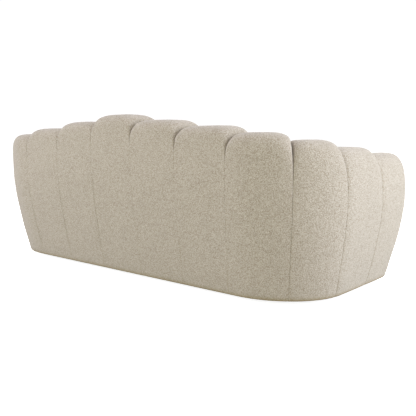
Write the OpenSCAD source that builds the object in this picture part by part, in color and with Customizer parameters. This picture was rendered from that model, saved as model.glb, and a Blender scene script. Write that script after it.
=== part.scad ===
// Shell-backed channel sofa: padded channels wrap a timber wall round the back and both arms,
// and a loose bench cushion lies on a sprung seat. The front is at -Y and the floor at z = 0.
// Left and right are as seen from the front.

/* [Overall] */
// Width across the arm channels
sofa_w = 2254; // [2100:1:2500]
// Depth from the arm noses to the back
sofa_d = 962; // [930:1:1060]
// Height of the middle channel above the floor
sofa_h = 820; // [790:1:900]
// Drop from each channel to the next one outwards
crest_step = 31; // [10:0.5:34]
// Height of the underside above the floor
foot_h = 26; // [22:1:50]

/* [Channels] */
// Distance from the last straight back seam to the start of the corner
corner_lead = 40; // [30:1:60]
// Width of the channel that turns into the corner
turn_pitch = 288; // [270:1:300]
// Width of the corner channel on the arm side
corner_pitch = 253; // [240:1:280]
// Plan radius of the outer corner at the seam line
corner_r = 351; // [320:1:380]
// Plan radius of the inner corner
inner_r = 130; // [100:1:150]
// Thickness of the back wall at the seat
back_t = 310; // [295:1:340]
// Thickness of the arm wall at the seat
arm_t = 270; // [260:1:300]
// How far a back channel swells past its seams outside
back_bulge = 12; // [4:1:20]
// How far an arm channel swells past its seams outside
arm_bulge = 16; // [6:1:24]
// How far a channel swells past its seams inside
inner_bulge = 18; // [8:1:24]
// Dip of a seam below the lower of its two channels
seam_dip = 16.5; // [4:0.5:20]
// Inset of the crest from the seam line on the back
back_crest_in = 129; // [118:1:150]
// Inset of the crest from the seam line on the arms
arm_crest_in = 104; // [96:1:125]
// Height of the rounded outer shoulder on the back
back_shoulder_h = 110; // [95:1:150]
// Height of the rounded outer shoulder on the arms, and of the face's untapered top
shoulder_h = 240; // [200:1:260]
// Height of the rounded inner shoulder
inner_drop = 190; // [150:1:200]
// Outward lean of the inner face above the seat
inner_lean = 30; // [16:1:40]
// Length of the rounded nose at the front of an arm
nose_l = 110; // [100:1:140]
// Radius under the bottom edge
tuck = 9; // [5:1:14]
// Gap between sewn neighbours
sew_gap = 0.6; // [0.4:0.1:1]

/* [Wall frame] */
// Inset of the outer boards from the seam line
wall_in = 130; // [126:1:135]
// Thickness of the plywood boards
board_t = 18; // [15:1:19]
// Timber section of posts and rails
timber = 42; // [38:1:44]
// Thickness of a webbing strap
strap_t = 1.6; // [1:0.1:2]
// Width of a webbing strap
strap_w = 60; // [50:1:70]
// Height of the lowest strap's middle above the floor
strap_low = 140; // [120:1:150]
// Distance from the lowest rail top down to the highest strap's middle
strap_drop = 63.5; // [55:0.5:75]
// Number of straps, one above the other
strap_n = 4; // [2:1:4]
// Padding above the frame at a seam
top_cover = 100; // [90:1:120]
// Distance from the lowest rail top down to the middle of the lumbar rails
lumbar_drop = 98; // [90:1:130]
// Clearance between hard pieces
fit_gap = 0.3; // [0.2:0.05:0.4]
// Clearance between a pad and the frame inside it
pad_gap = 0.5; // [0.4:0.1:0.8]

/* [Seat box] */
// Height of the seat rails' top above the floor
rail_top = 206; // [190:1:212]
// Thickness of the seat rails
rail_t = 25; // [20:1:30]
// Thickness of the base planks
plank_t = 18; // [15:1:22]
// Width of the front base plank
front_plank_w = 100; // [90:1:140]
// Distance of the front rail's face behind the noses
rail_back = 121; // [116:1:130]
// Number of stretchers
stretcher_n = 3; // [2:1:5]
// Wire size of the sinuous springs
spring_wire = 4; // [3.5:0.1:4.5]
// Width of a sinuous spring
spring_w = 48; // [44:1:52]
// Number of sinuous springs
spring_n = 13; // [11:1:14]
// Number of bends in a spring
spring_bends = 18; // [16:2:20]
// Width of a spring clip
clip_w = 16; // [12:1:18]
// Length of a spring clip along the spring
clip_l = 14; // [12:1:16]
// Thickness of the clip metal
clip_t = 1.5; // [1:0.1:2]
// Size of the tie wires across the springs
tie_wire = 2.4; // [2:0.1:3]
// Number of tie wires
tie_n = 2; // [1:1:3]
// Thickness of the insulator sheet on the springs
insulator_t = 1.5; // [1:0.5:2]
// Thickness of the deck cloth
cloth_t = 1; // [0.8:0.1:1.5]

/* [Bench cushion] */
// Thickness of the cushion at its border
cushion_h = 158; // [140:1:165]
// Rise of the middle of the cushion
cushion_crown = 22; // [10:1:30]
// Gap from the cushion to the arm channels
cushion_gap = 3; // [2:1:6]
// Gap from the cushion to the seams of the back wall
cushion_back_gap = 13; // [12:1:18]
// Distance of the cushion front behind the noses
cushion_front_in = 26; // [16:1:34]
// Plan radius of the cushion's front corners
cushion_front_r = 60; // [40:1:80]
// Radius of the cushion's upper and lower edges
cushion_edge_r = 26; // [18:1:34]
// Swell of the cushion border
border_bulge = 7; // [3:1:9]
// How far the cushion's front draws in between its corners
side_draw = 6; // [2:1:8]
// Thickness of the cover with its fibre wrap
wrap_t = 14; // [10:1:18]
// Distance from the cushion's sides in to the ends of the zip
zip_in = 245; // [230:1:380]
// Width of the zip tape
zip_w = 28; // [22:1:32]
// Thickness of the zip tape
zip_t = 1.2; // [0.8:0.1:1.6]
// Width of the closed teeth
teeth_w = 6; // [5:0.5:7]
// Height of the closed teeth above the tape
teeth_h = 1.6; // [1.4:0.1:1.8]
// Length of the zip slider
slider_l = 16; // [12:1:20]
// Width of the zip slider
slider_w = 10.5; // [9:0.5:12]
// Thickness of the zip slider over the teeth
slider_wall = 2; // [1.5:0.1:2.5]

/* [Front apron] */
// Thickness of the padding over the front rail at its top
apron_t = 74; // [62:1:85]
// Thickness of the padding over the front rail at its bottom
apron_low_t = 34; // [26:1:45]
// Height of the apron above the floor
apron_h = 262; // [252:1:272]
// Radius of the apron's upper edge
apron_r = 34; // [20:1:50]
// Swell of the apron's middle past its ends
apron_bulge = 8; // [3:1:12]

/* [Feet and fixings] */
// Diameter of a foot at its top
foot_d = 64; // [52:1:74]
// Diameter of a foot at its bottom
foot_low_d = 54; // [46:1:64]
// Thickness of a felt glide
glide_t = 5; // [3:1:6]
// Diameter of a felt glide
glide_d = 40; // [32:1:44]
// Shank diameter of the screws
screw_d = 5; // [4:0.5:6]
// Length of the frame screws
screw_l = 60; // [50:1:70]
// Length of the foot screws
foot_screw_l = 30; // [24:1:32]
// Head diameter of the screws
screw_head_d = 10; // [8:0.5:11]
// Thickness of the screw heads
screw_head_h = 3; // [2:0.5:4]
// Thickness of the dust cover
dust_t = 0.8; // [0.6:0.1:1.2]
// Distance of the dust cover's edge inside the bottom edge
dust_in = 18; // [12:1:24]

/* [Hidden] */
$fn = 32;

// Shares of the half width and of the half depth that the bottom draws in
taper_x_share = 0.051;
taper_y_share = 0.151;
// Share of the first that is left in the middle, and where it begins and how far it takes to grow
middle_taper_share = 0.5;
middle_taper_x = 300;
middle_taper_run = 500;
// Share of the arm, from the corner channel to the nose, that its middle channel takes
arm_pitch_share = 0.608;
// Share of the swell that is left at the bottom edge
low_bulge_share = 0.65;
// Shares of the swell by which a seam stands out on the lower face of the back and of the arms
back_flat_share = 0.75;
arm_flat_share = 0.4;
// Shares of the arm's width and shoulder that are left at the nose tip
tip_w_share = 0.33;
tip_h_share = 0.35;
// Powers of the wall taper, of the outer shoulder on the back, on the arms and at a seam, of the
// roll inwards from the crest, of the nose, and of the swell between seams
taper_power = 1.45;
back_power = 4.6;
arm_power = 3.4;
cut_power = 1.85;
roll_power = 1.8;
round_power = 2.4;
swell_power = 3;
// Counts of stations, and of facets on the face, the rounds, the nose and cushion corners
stations = 8;
face_n = 4;
round_n = 5;
nose_n = 5;
edge_n = 5;
quarter = 90;
// Overrun of every cut
over = 5;

// Seam line of the wall and the inner line of the seat well
seam_x = sofa_w / 2 - arm_bulge;
seam_y = sofa_d / 2 - back_bulge;
inner_x = seam_x - arm_t;
inner_y = seam_y - back_t;
straight = seam_x - corner_r;
arc = corner_r * PI / 2;
inner_straight = inner_x - inner_r;
nose_y = -sofa_d / 2 + nose_l;
arm_run = seam_y - corner_r - nose_y;
inner_run = inner_y - inner_r - nose_y;

// Heights of the base, of the inner pads' lower end and of the seat deck
plank_top = foot_h + plank_t;
leg_low = plank_top + fit_gap;
deck_z = apron_h;

// Depths of the wall frame's layers and of the slot that holds them
board_in = wall_in + pad_gap;
post_in = board_in + board_t;
strap_in = post_in + timber;
slot_in = strap_in + strap_t + fit_gap + pad_gap;

// Seams counted outwards from the middle of the back, as lengths along the seam line:
// five equal channels fill the straight back
seam_3 = straight - corner_lead;
back_pitch = 2 / 5 * seam_3;
seam_1 = back_pitch / 2;
seam_4 = seam_3 + turn_pitch;
seam_5 = seam_4 + corner_pitch;
wall_end = straight + arc + arm_run;
seam_6 = lerp(seam_5, wall_end, arm_pitch_share);
seams = [-seam_1, seam_1, seam_1 + back_pitch, seam_3, seam_4, seam_5, seam_6, wall_end];
nose = len(seams) - 2;

function lerp(a, b, t) = a + (b - a) * t;
function clamp01(t) = max(0, min(1, t));
function swell(w) = pow(max(0, 1 - pow(abs(w), swell_power)), 1 / swell_power);
function smooth(t) = let (u = clamp01(t)) u * u * (3 - 2 * u);
function round_cos(a, power = round_power) = pow(max(0, cos(a)), 2 / power);
function round_sin(a, power = round_power) = pow(max(0, sin(a)), 2 / power);

// Height of channel i, of seam i, and of the frame slot and the frame itself at seam i
function crest(i) = sofa_h - crest_step * i;
function seam_h(i) = crest(max(1, min(nose, i))) - seam_dip;
function slot_top(i) = seam_h(i) - top_cover;
function frame_top(i) = slot_top(min(i + 1, nose)) - pad_gap;

// Turn of the seam line at length s, its outward direction, its points and the inner line's
function turn(s) = quarter * clamp01((s - straight) / arc);
function outward(s) = [sin(turn(s)), cos(turn(s))];
function inset(s, d) =
    s <= straight ? [s, seam_y - d] :
    [straight, seam_y - corner_r - max(0, s - straight - arc)]
        + (corner_r - d) * outward(s);
function inner_line(s) =
    s <= straight ? [s * inner_straight / straight, inner_y] :
    [inner_straight, inner_y - inner_r - max(0, s - straight - arc) * inner_run / arm_run]
        + inner_r * outward(s);

// Point of the frame at seam i, and the point a length w from it towards seam j
function at(i, d) = inset(seams[i], d);
function along(i, j, d, w) =
    let (p = at(i, d), q = at(j, d)) p + w * (q - p) / norm(q - p);

// Draws a point of the wall in towards the bottom, by the shares tx and ty of the full taper
function draw_in(z, belly) = pow(clamp01((belly - z) / (belly - foot_h)), taper_power);
function tapered(p, z, belly, tx, ty) =
    let (middle = lerp(middle_taper_share, 1,
            smooth((abs(p.x) - middle_taper_x) / middle_taper_run)))
    [p.x * (1 - taper_x_share * tx * middle * draw_in(z, belly)),
     p.y * (1 - taper_y_share * ty * draw_in(z, belly)), z];

// Squeezes a plan point into the nose, whose angle runs from 0 at its root to 90 at its tip
function nosed(p, a) =
    a == 0 ? p :
    [lerp(seam_x - arm_t / 2, p.x, lerp(tip_w_share, 1, round_cos(a))),
     p.y - nose_l * round_sin(a)];
function nearness(p, a) = a == 0 ? 1 : clamp01(1 - (seam_x - p.x) / arm_t);
function outer_point(p, z, belly, a) =
    tapered(p, z, belly, nearness(p, a), max(nearness(p, a), round_sin(a)));
function inner_point(p, z, belly, a) =
    tapered(p, z, belly, nearness(p, a) * round_sin(a), round_sin(a));

// Inner face of the wall at length s, where t is the share of the way up to its shoulder
function inner_face(s, t, f) =
    inner_line(s) + outward(s) * (inner_lean * t - f * inner_bulge * clamp01(2 * t));

// One ring of the padding over the wall, up its outer face, over the crest and down its inner face:
// f is the swell from 0 at a seam to 1, h the crest height, belly the height where the taper starts
function ring(s, f, h, belly, a = 0) =
    let (side = turn(s) / quarter,
         bulge = lerp(back_bulge, arm_bulge, side),
         flat = lerp(back_flat_share, arm_flat_share, side),
         out_b = bulge * lerp(f, 1, flat),
         crest_in = lerp(back_crest_in, arm_crest_in, side),
         crest_p = inset(s, crest_in),
         start = belly + (shoulder_h - back_shoulder_h) * (1 - side),
         power = lerp(cut_power, lerp(back_power, arm_power, smooth(side)), f),
         low_in = h - inner_drop,
         shoulder = inner_face(s, 1, f),
         leg_z = lerp(leg_low, foot_h, round_sin(a)))
    concat(
        [outer_point(nosed(inset(s, tuck - low_bulge_share * out_b), a), foot_h, belly, a)],
        [outer_point(nosed(inset(s, -low_bulge_share * out_b), a), foot_h + tuck, belly, a)],
        [for (j = [1:face_n - 1]) let (u = j / face_n)
            outer_point(nosed(inset(s, -out_b * lerp(low_bulge_share, 1, u)), a),
                lerp(foot_h, start, u), belly, a)],
        [for (j = [0:round_n])
            let (b = quarter * j / round_n,
                 up = round_sin(b, power),
                 out = bulge * lerp(f, 1, flat * (1 - up)))
            outer_point(nosed(inset(s, lerp(crest_in, -out, round_cos(b, power))), a),
                lerp(start, h, up), belly, a)],
        [for (j = [1:round_n]) let (b = quarter * j / round_n)
            inner_point(nosed(lerp(crest_p, shoulder, round_sin(b, roll_power)), a),
                lerp(low_in, h, round_cos(b, roll_power)), belly, a)],
        [for (t = [2 / 3, 1 / 3, 0])
            inner_point(nosed(inner_face(s, t, f), a), lerp(deck_z, low_in, t), belly, a)],
        [for (z = [(leg_z + deck_z) / 2, leg_z])
            inner_point(nosed(inner_line(s), a), z, belly, a)]);

// The four corners of the frame slot at length s
function slot_corners(s, top) =
    [for (c = [[wall_in, foot_h], [wall_in, top], [slot_in, top], [slot_in, leg_low]])
        [inset(s, c[0]).x, inset(s, c[0]).y, c[1]]];

// Padding as one closed mesh of triangles: rings side by side, open to the slot at both ends
// or closed by a flat tip at the far end
module padding(rings, slot_a, slot_b, closed) {
    n = len(rings) - 1;
    m = len(rings[0]);
    last = m - 1;
    a = (n + 1) * m;
    b = a + 4;
    low = face_n;
    high = low + 1 + round_n;
    in_high = high + round_n;
    function corner(j) = j < low ? 0 : j < high ? 1 : j < in_high ? 2 : 3;
    half = floor(stations / 2);
    skin = [for (k = [0:n - 1], j = [0:m - 2]) each
        [[k * m + j, (k + 1) * m + j, (k + 1) * m + j + 1],
         [k * m + j, (k + 1) * m + j + 1, k * m + j + 1]]];
    end_a = [for (j = [0:m - 2]) each concat(
        [[j, j + 1, a + corner(j)]],
        corner(j) == corner(j + 1) ? [] : [[j + 1, a + corner(j + 1), a + corner(j)]])];
    end_b = [for (j = [0:m - 2]) each concat(
        [[n * m + j + 1, n * m + j, b + corner(j)]],
        corner(j) == corner(j + 1) ? [] :
            [[b + corner(j + 1), n * m + j + 1, b + corner(j)]])];
    tip = concat(
        [for (j = [0:floor(last / 2)]) let (p = n * m + j, q = n * m + last - j) each
            q - p > 2 ? [[p + 1, p, q], [p + 1, q, q - 1]] :
            q - p == 2 ? [[p + 1, p, q]] : []],
        [[b, b + 1, b + 2], [b, b + 2, b + 3],
         [b, b + 3, n * m + last], [b, n * m + last, n * m]]);
    slot = [for (c = [0:2]) each
        [[a + c, a + c + 1, b + c + 1], [a + c, b + c + 1, b + c]]];
    soles = concat(
        [for (k = [0:n - 1]) [(k + 1) * m, k * m, k < half ? a : b]],
        [[half * m, a, b]],
        [for (k = [0:n - 1]) [k * m + last, (k + 1) * m + last, k < half ? a + 3 : b + 3]],
        [[b + 3, a + 3, half * m + last]]);
    polyhedron(
        points = concat([for (r = rings) each r], slot_a, slot_b),
        faces = concat(skin, end_a, closed ? tip : end_b, slot, soles),
        convexity = 6);
}

// Channel i, counted outwards from the middle one
module channel(i) {
    from = seams[i] + sew_gap / 2;
    to = seams[i + 1] - sew_gap / 2;
    rings = [for (k = [0:stations])
        let (w = sin(lerp(-quarter, quarter, k / stations)),
             h = lerp(seam_h(w < 0 ? i : i + 1), crest(i), swell(w)))
        ring(lerp(from, to, (w + 1) / 2), swell(w), h, h - shoulder_h)];
    color("tan") padding(rings, slot_corners(from, slot_top(i)),
        slot_corners(to, slot_top(i + 1)), false);
}

// The last channel, which runs round the front of the arm
module nose_channel() {
    from = seams[nose] + sew_gap / 2;
    half = stations / 2;
    belly = crest(nose) - shoulder_h;
    rings = concat(
        [for (k = [0:half])
            let (w = sin(lerp(-quarter, 0, k / half)),
                 h = lerp(seam_h(nose), crest(nose), swell(w)))
            ring(lerp(from, wall_end, w + 1), swell(w), h, h - shoulder_h)],
        [for (k = [1:nose_n])
            let (a = quarter * k / nose_n,
                 h = lerp(belly, crest(nose), lerp(tip_h_share, 1, round_cos(a))))
            ring(wall_end, 1, h, belly, a)]);
    color("tan") padding(rings, slot_corners(from, slot_top(nose)),
        slot_corners(wall_end, slot_top(nose)), true);
}

module left() {
    mirror([1, 0, 0]) children();
}

module both() {
    children();
    left() children();
}

// A closed form of triangles through closed rings of points, with a point in the middle of each end
module loft(rings) {
    n = len(rings) - 1;
    m = len(rings[0]);
    low = (n + 1) * m;
    function centre(r) = [for (c = [0:2]) [for (p = r) p[c]] * [for (p = r) 1] / len(r)];
    polyhedron(
        points = concat([for (r = rings) each r], [centre(rings[0]), centre(rings[n])]),
        faces = concat(
            [for (k = [0:n - 1], j = [0:m - 1]) let (i = (j + 1) % m) each
                [[k * m + j, (k + 1) * m + i, k * m + i],
                 [k * m + j, (k + 1) * m + j, (k + 1) * m + i]]],
            [for (j = [0:m - 1]) [j, (j + 1) % m, low]],
            [for (j = [0:m - 1]) [n * m + (j + 1) % m, n * m + j, low + 1]]),
        convexity = 4);
}

// Room for the cushion between the channels
cushion_x = inner_x - max(0, inner_bulge - inner_lean / 2) - cushion_gap;
cushion_back = inner_y - cushion_back_gap;
cushion_front = -sofa_d / 2 + cushion_front_in;
cushion_z = deck_z + fit_gap;

// Plan outline of the cushion at height z, drawn in by d all round and by its front's own draw
function corner_arc(x, y, r, a) =
    [for (k = [0:edge_n]) let (b = a + quarter * k / edge_n) [x + r * cos(b), y + r * sin(b)]];
function cushion_ring(d, z) =
    let (hx = cushion_x - d,
         back = cushion_back - d,
         front = cushion_front + d,
         rb = max(inner_r - d, inner_r / 4),
         rf = max(cushion_front_r - d, cushion_front_r / 4),
         side = [for (t = [1 / 6, 1 / 3, 1 / 2, 2 / 3, 5 / 6]) [1 - 2 * t, 4 * t * (1 - t)]])
    [for (p = concat(
        corner_arc(hx - rb, back - rb, rb, 0),
        [for (q = side) [q.x * (hx - rb), back]],
        corner_arc(rb - hx, back - rb, rb, quarter),
        corner_arc(rf - hx, front + rf, rf, 2 * quarter),
        [for (q = side) [-q.x * (hx - rf), front + side_draw * q.y]],
        corner_arc(hx - rf, front + rf, rf, 3 * quarter))) [p.x, p.y, z]];

// The cushion's form drawn in by d all round: flat below, swollen border, crowned top
module cushion_form(d) {
    low = cushion_z + d;
    high = cushion_z + cushion_h - d;
    r = cushion_edge_r - d / 2;
    half = (cushion_back - cushion_front) / 2;
    crown_ins = [for (u = [1 / 8, 1 / 4, 1 / 2, 3 / 4]) lerp(r, half, u)];
    loft(concat(
        [cushion_ring(d + border_bulge + r, low),
         cushion_ring(d + border_bulge + r / 4, low + r / 3),
         cushion_ring(d + border_bulge / 2, low + r),
         cushion_ring(d, (low + high) / 2),
         cushion_ring(d + border_bulge / 2, high - r),
         cushion_ring(d + border_bulge + r / 4, high - r / 3),
         cushion_ring(d + border_bulge + r, high)],
        [for (c = crown_ins) cushion_ring(d + border_bulge + c,
            high + cushion_crown * sin(quarter * (c - r) / (half - r)))]));
}

module cushion_cover() {
    color("tan") difference() {
        cushion_form(0);
        cushion_form(wrap_t);
    }
}

module cushion_core() {
    color("lemonchiffon") cushion_form(wrap_t + fit_gap);
}

// Closed zip along the cushion's rear border, with its slider at the closed end
zip_y = cushion_back + fit_gap;
zip_z = cushion_z + cushion_h / 2;
zip_l = 2 * (cushion_x - zip_in);
slider_end = zip_l / 2 - 2 * slider_l;
pull_w = slider_w / 2;

module cushion_zip() {
    color("dimgray") {
        translate([-zip_l / 2, zip_y, zip_z - zip_w / 2]) cube([zip_l, zip_t, zip_w]);
        translate([-zip_l / 2, zip_y + zip_t, zip_z - teeth_w / 2]) cube([zip_l, teeth_h, teeth_w]);
    }
}

module zip_slider() {
    slider_t = teeth_h + slider_wall;
    color("silver") translate([slider_end, zip_y + zip_t + fit_gap, zip_z]) {
        difference() {
            translate([-slider_l / 2, 0, -slider_w / 2]) cube([slider_l, slider_t, slider_w]);
            translate([-slider_l / 2 - over, -over, -teeth_w / 2 - fit_gap])
                cube([slider_l + 2 * over, over + teeth_h, teeth_w + 2 * fit_gap]);
        }
        translate([-pull_w / 2, slider_t, -2 * slider_l])
            cube([pull_w, zip_t, 2 * slider_l + pull_w / 2]);
    }
}

// Apron: a padded band across the front between the noses, hooked over the front rail
front_face = -sofa_d / 2 + rail_back;
back_in = front_face + rail_t;
rim_x = inner_x - pad_gap;
rim_y = inner_y - pad_gap;
insulator_z = rail_top + clip_t + spring_wire + tie_wire + fit_gap;
pad_z = insulator_z + insulator_t + fit_gap;

function apron_ring(x, f) =
    let (face = front_face - fit_gap,
         low_y = face - lerp(apron_low_t - apron_bulge, apron_low_t, f),
         high_y = face - lerp(apron_t - apron_bulge, apron_t, f),
         top_z = apron_h - fit_gap,
         bend_z = top_z - apron_r)
    [for (p = concat(
        [[face, foot_h], [lerp(low_y, face, 1 / 4), foot_h], [low_y, foot_h + tuck]],
        [for (u = [1 / 3, 2 / 3])
            [lerp(low_y, high_y, pow(u, 1 / taper_power)), lerp(foot_h, bend_z, u)]],
        [for (k = [0:edge_n]) let (a = quarter * k / edge_n)
            [high_y + apron_r * (1 - cos(a)), bend_z + apron_r * sin(a)]],
        [[back_in - fit_gap, top_z], [back_in - fit_gap, pad_z], [face, pad_z]]))
        [x, p.x, p.y]];

module front_apron() {
    color("tan") loft([for (k = [0:stations])
        let (w = sin(lerp(quarter, -quarter, k / stations)))
        apron_ring(w * (rim_x - fit_gap), swell(w))]);
}

// Seat box and base: plan corners shared by the rails, the planks and the deck
mitre = rail_t * (sqrt(2) - 1);
corner_out = [[rim_x, rim_y - inner_r], [rim_x - inner_r, rim_y]];
corner_in = [[rim_x - rail_t, rim_y - inner_r - mitre], [rim_x - inner_r - mitre, rim_y - rail_t]];

module rail(points) {
    color("burlywood") difference() {
        translate([0, 0, plank_top]) linear_extrude(rail_top - plank_top) polygon(points);
        screw_holes();
    }
}

module front_rail() {
    rail([[-rim_x, front_face], [rim_x, front_face], [rim_x, back_in], [-rim_x, back_in]]);
}

module back_rail() {
    rail([[corner_out[1].x, corner_out[1].y], [-corner_out[1].x, corner_out[1].y],
          [-corner_in[1].x, corner_in[1].y], [corner_in[1].x, corner_in[1].y]]);
}

module side_rail() {
    rail([[rim_x - rail_t, back_in], [rim_x, back_in], corner_out[0], corner_in[0]]);
}

module corner_rails() {
    both() rail([corner_out[0], corner_out[1], corner_in[1], corner_in[0]]);
}

stretcher_pitch = 2 * corner_in[1].x / (stretcher_n + 1);

module stretchers() {
    color("burlywood") for (k = [1:stretcher_n])
        translate([k * stretcher_pitch - corner_in[1].x - timber / 2, back_in, plank_top])
            cube([timber, rim_y - rail_t - back_in, timber]);
}

// The U-shaped base, right half first, then cut into its planks
base_half = concat(
    [for (i = [3:nose]) at(i, board_in)],
    [at(nose + 1, board_in) + [0, pad_gap], [rim_x - rail_t, nose_y + pad_gap]],
    corner_in);
base_outline = concat(base_half,
    [for (k = [len(base_half) - 1:-1:0]) [-base_half[k].x, base_half[k].y]]);

module plank_cut(from, to) {
    color("wheat") difference() {
        translate([0, 0, foot_h]) linear_extrude(plank_t) intersection() {
            polygon(base_outline);
            translate(from) square(to - from);
        }
        screw_holes();
        foot_screw_holes();
    }
}

module front_plank() {
    half = rim_x - rail_t;
    color("wheat") difference() {
        translate([-half, front_face, foot_h]) cube([2 * half, front_plank_w, plank_t]);
        screw_holes();
        foot_screw_holes();
    }
}

// The back plank ends beside the posts at the ends of the back board
plank_end = seams[3] - timber / 2;

module back_plank() {
    plank_cut([-plank_end, 0], [plank_end, sofa_d]);
}

module corner_plank() {
    plank_cut([plank_end, corner_out[0].y], [sofa_w, sofa_d]);
}

// The arm plank runs under the nose, beside the end of the apron
module arm_plank() {
    difference() {
        plank_cut([0, -sofa_d], [sofa_w, corner_out[0].y]);
        translate([0, front_face - sofa_d, -over]) cube([rim_x, sofa_d, sofa_h]);
    }
}

// Wall frame: boards, posts and rails between the seam planes
module board(i) {
    front_gap = i < nose ? [0, 0] : [0, pad_gap];
    translate([0, 0, plank_top]) linear_extrude(frame_top(i) - plank_top)
        polygon([at(i, board_in), at(i + 1, board_in) + front_gap,
            at(i + 1, post_in) + front_gap, at(i, post_in)]);
}

module back_board() {
    half = [for (i = [2:-1:0]) each
        [[seams[i + 1], frame_top(i)], [i == 0 ? 0 : seams[i], frame_top(i)]]];
    other = [for (k = [len(half) - 2:-1:0]) [-half[k].x, half[k].y]];
    color("peru") translate([0, seam_y - board_in, 0]) rotate([quarter, 0, 0])
        linear_extrude(board_t) polygon(concat(
            [[-seams[3], plank_top], [seams[3], plank_top]], half, other));
}

module corner_boards() {
    color("peru") for (i = [3, 4]) board(i);
}

module arm_board() {
    color("peru") for (i = [5, nose]) board(i);
}

module post(i) {
    w = timber / 2;
    back = i - 1;
    on = i + 1;
    front_gap = [0, pad_gap];
    difference() {
        translate([0, 0, plank_top]) linear_extrude(frame_top(i) - plank_top)
            polygon(i > nose ?
                [along(i, back, post_in, timber), at(i, post_in) + front_gap,
                 at(i, strap_in) + front_gap, along(i, back, strap_in, timber)] :
                [along(i, back, post_in, w), at(i, post_in), along(i, on, post_in, w),
                 along(i, on, strap_in, w), at(i, strap_in), along(i, back, strap_in, w)]);
        screw_holes();
    }
}

module back_posts() {
    color("burlywood") both() for (i = [1:3]) post(i);
}

module arm_posts() {
    color("burlywood") for (i = [4:nose + 1]) post(i);
}

// Rail between the posts at seams i and i + 1, its top at height z
module wall_rail(i, z) {
    w = timber / 2 + fit_gap;
    far = i < nose ? w : timber + fit_gap;
    translate([0, 0, z - timber]) linear_extrude(timber)
        polygon([along(i, i + 1, post_in, w), along(i + 1, i, post_in, far),
            along(i + 1, i, strap_in, far), along(i, i + 1, strap_in, w)]);
}

module back_top_rails() {
    color("burlywood") {
        wall_rail(0, frame_top(0));
        both() for (i = [1, 2]) wall_rail(i, frame_top(i));
    }
}

module arm_top_rails() {
    color("burlywood") for (i = [3:nose]) wall_rail(i, frame_top(i));
}

lumbar_top = frame_top(nose) - lumbar_drop + timber / 2;

module back_lumbar_rails() {
    color("burlywood") {
        wall_rail(0, lumbar_top);
        both() for (i = [1, 2]) wall_rail(i, lumbar_top);
    }
}

module arm_lumbar_rails() {
    color("burlywood") for (i = [3:nose]) wall_rail(i, lumbar_top);
}

// Webbing straps over the posts, row above row
strap_pitch = (frame_top(nose) - strap_drop - strap_low) / (strap_n - 1);

module straps(points) {
    color("darkslategray") for (k = [0:strap_n - 1])
        translate([0, 0, strap_low + k * strap_pitch - strap_w / 2])
            linear_extrude(strap_w) polygon(points);
}

module back_webbing() {
    half = seams[3];
    y = seam_y - strap_in;
    straps([[-half, y - strap_t], [half, y - strap_t], [half, y], [-half, y]]);
}

module arm_webbing() {
    face = strap_in + strap_t;
    front_gap = [0, pad_gap];
    straps(concat(
        [along(3, 4, strap_in, fit_gap)],
        [for (i = [4:nose]) at(i, strap_in)],
        [at(nose + 1, strap_in) + front_gap, at(nose + 1, face) + front_gap],
        [for (i = [nose:-1:4]) at(i, face)],
        [along(3, 4, face, fit_gap)]));
}

// Springs run from the front rail to the back rail in clips, tied across by wires
spring_front = front_face + rail_t / 2;
spring_back = rim_y - rail_t / 2;
spring_z = rail_top + clip_t + spring_wire / 2;
bend_pitch = (spring_back - spring_front) / spring_bends;
bend_r = bend_pitch / 2;
bend_x = spring_w / 2 - spring_wire / 2 - bend_r;
spring_pitch = 2 * (corner_in[1].x - clip_w) / (spring_n - 1);

module spring_places() {
    for (k = [0:spring_n - 1])
        translate([(k - (spring_n - 1) / 2) * spring_pitch, 0, 0]) children();
}

module spring_leg(k) {
    l = 2 * bend_x + spring_wire / 4;
    translate([-l / 2, k * bend_pitch - spring_wire / 2]) square([l, spring_wire]);
}

module spring_bend(k) {
    side = k % 2 == 0 ? 1 : -1;
    translate([side * bend_x, (k + 1 / 2) * bend_pitch]) intersection() {
        difference() {
            circle(bend_r + spring_wire / 2);
            circle(bend_r - spring_wire / 2);
        }
        translate([side > 0 ? 0 : -spring_w, -spring_w / 2]) square(spring_w);
    }
}

module sinuous_springs() {
    color("gray") spring_places() translate([0, spring_front, spring_z - spring_wire / 2])
        linear_extrude(spring_wire) {
            for (k = [0:spring_bends]) spring_leg(k);
            for (k = [0:spring_bends - 1]) spring_bend(k);
        }
}

module clip() {
    difference() {
        translate([-clip_w / 2, -clip_l / 2, rail_top])
            cube([clip_w, clip_l, spring_wire + fit_gap + 2 * clip_t]);
        translate([-clip_w / 2 - over, -spring_wire / 2 - fit_gap, rail_top + clip_t])
            cube([clip_w + 2 * over, clip_l + over, spring_wire + fit_gap]);
    }
}

module spring_clips() {
    color("silver") spring_places() {
        translate([0, spring_front, 0]) clip();
        translate([0, spring_back, 0]) mirror([0, 1, 0]) clip();
    }
}

module tie_wires() {
    half = rim_x - rail_t;
    color("gray") for (k = [1:tie_n])
        translate([-half, lerp(spring_front, spring_back, k / (tie_n + 1)),
            spring_z + (spring_wire + tie_wire) / 2])
            rotate([0, quarter, 0]) cylinder(h = 2 * half, d = tie_wire);
}

// Layers under the cushion, between the apron and the inner pads
module deck_layer(z, t) {
    x = rim_x - fit_gap;
    y = rim_y - fit_gap;
    translate([0, 0, z]) linear_extrude(t) {
        translate([-x, back_in]) square([2 * x, y - inner_r - back_in]);
        translate([inner_r - x, back_in]) square([2 * (x - inner_r), y - back_in]);
        for (side = [-1, 1]) translate([side * (x - inner_r), y - inner_r]) circle(inner_r);
    }
}

module spring_insulator() {
    color("peru") deck_layer(insulator_z, insulator_t);
}

module deck_pad() {
    color("lemonchiffon") deck_layer(pad_z, deck_z - cloth_t - fit_gap - pad_z);
}

module deck_cloth() {
    color("tan") deck_layer(deck_z - cloth_t, cloth_t);
}

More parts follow.
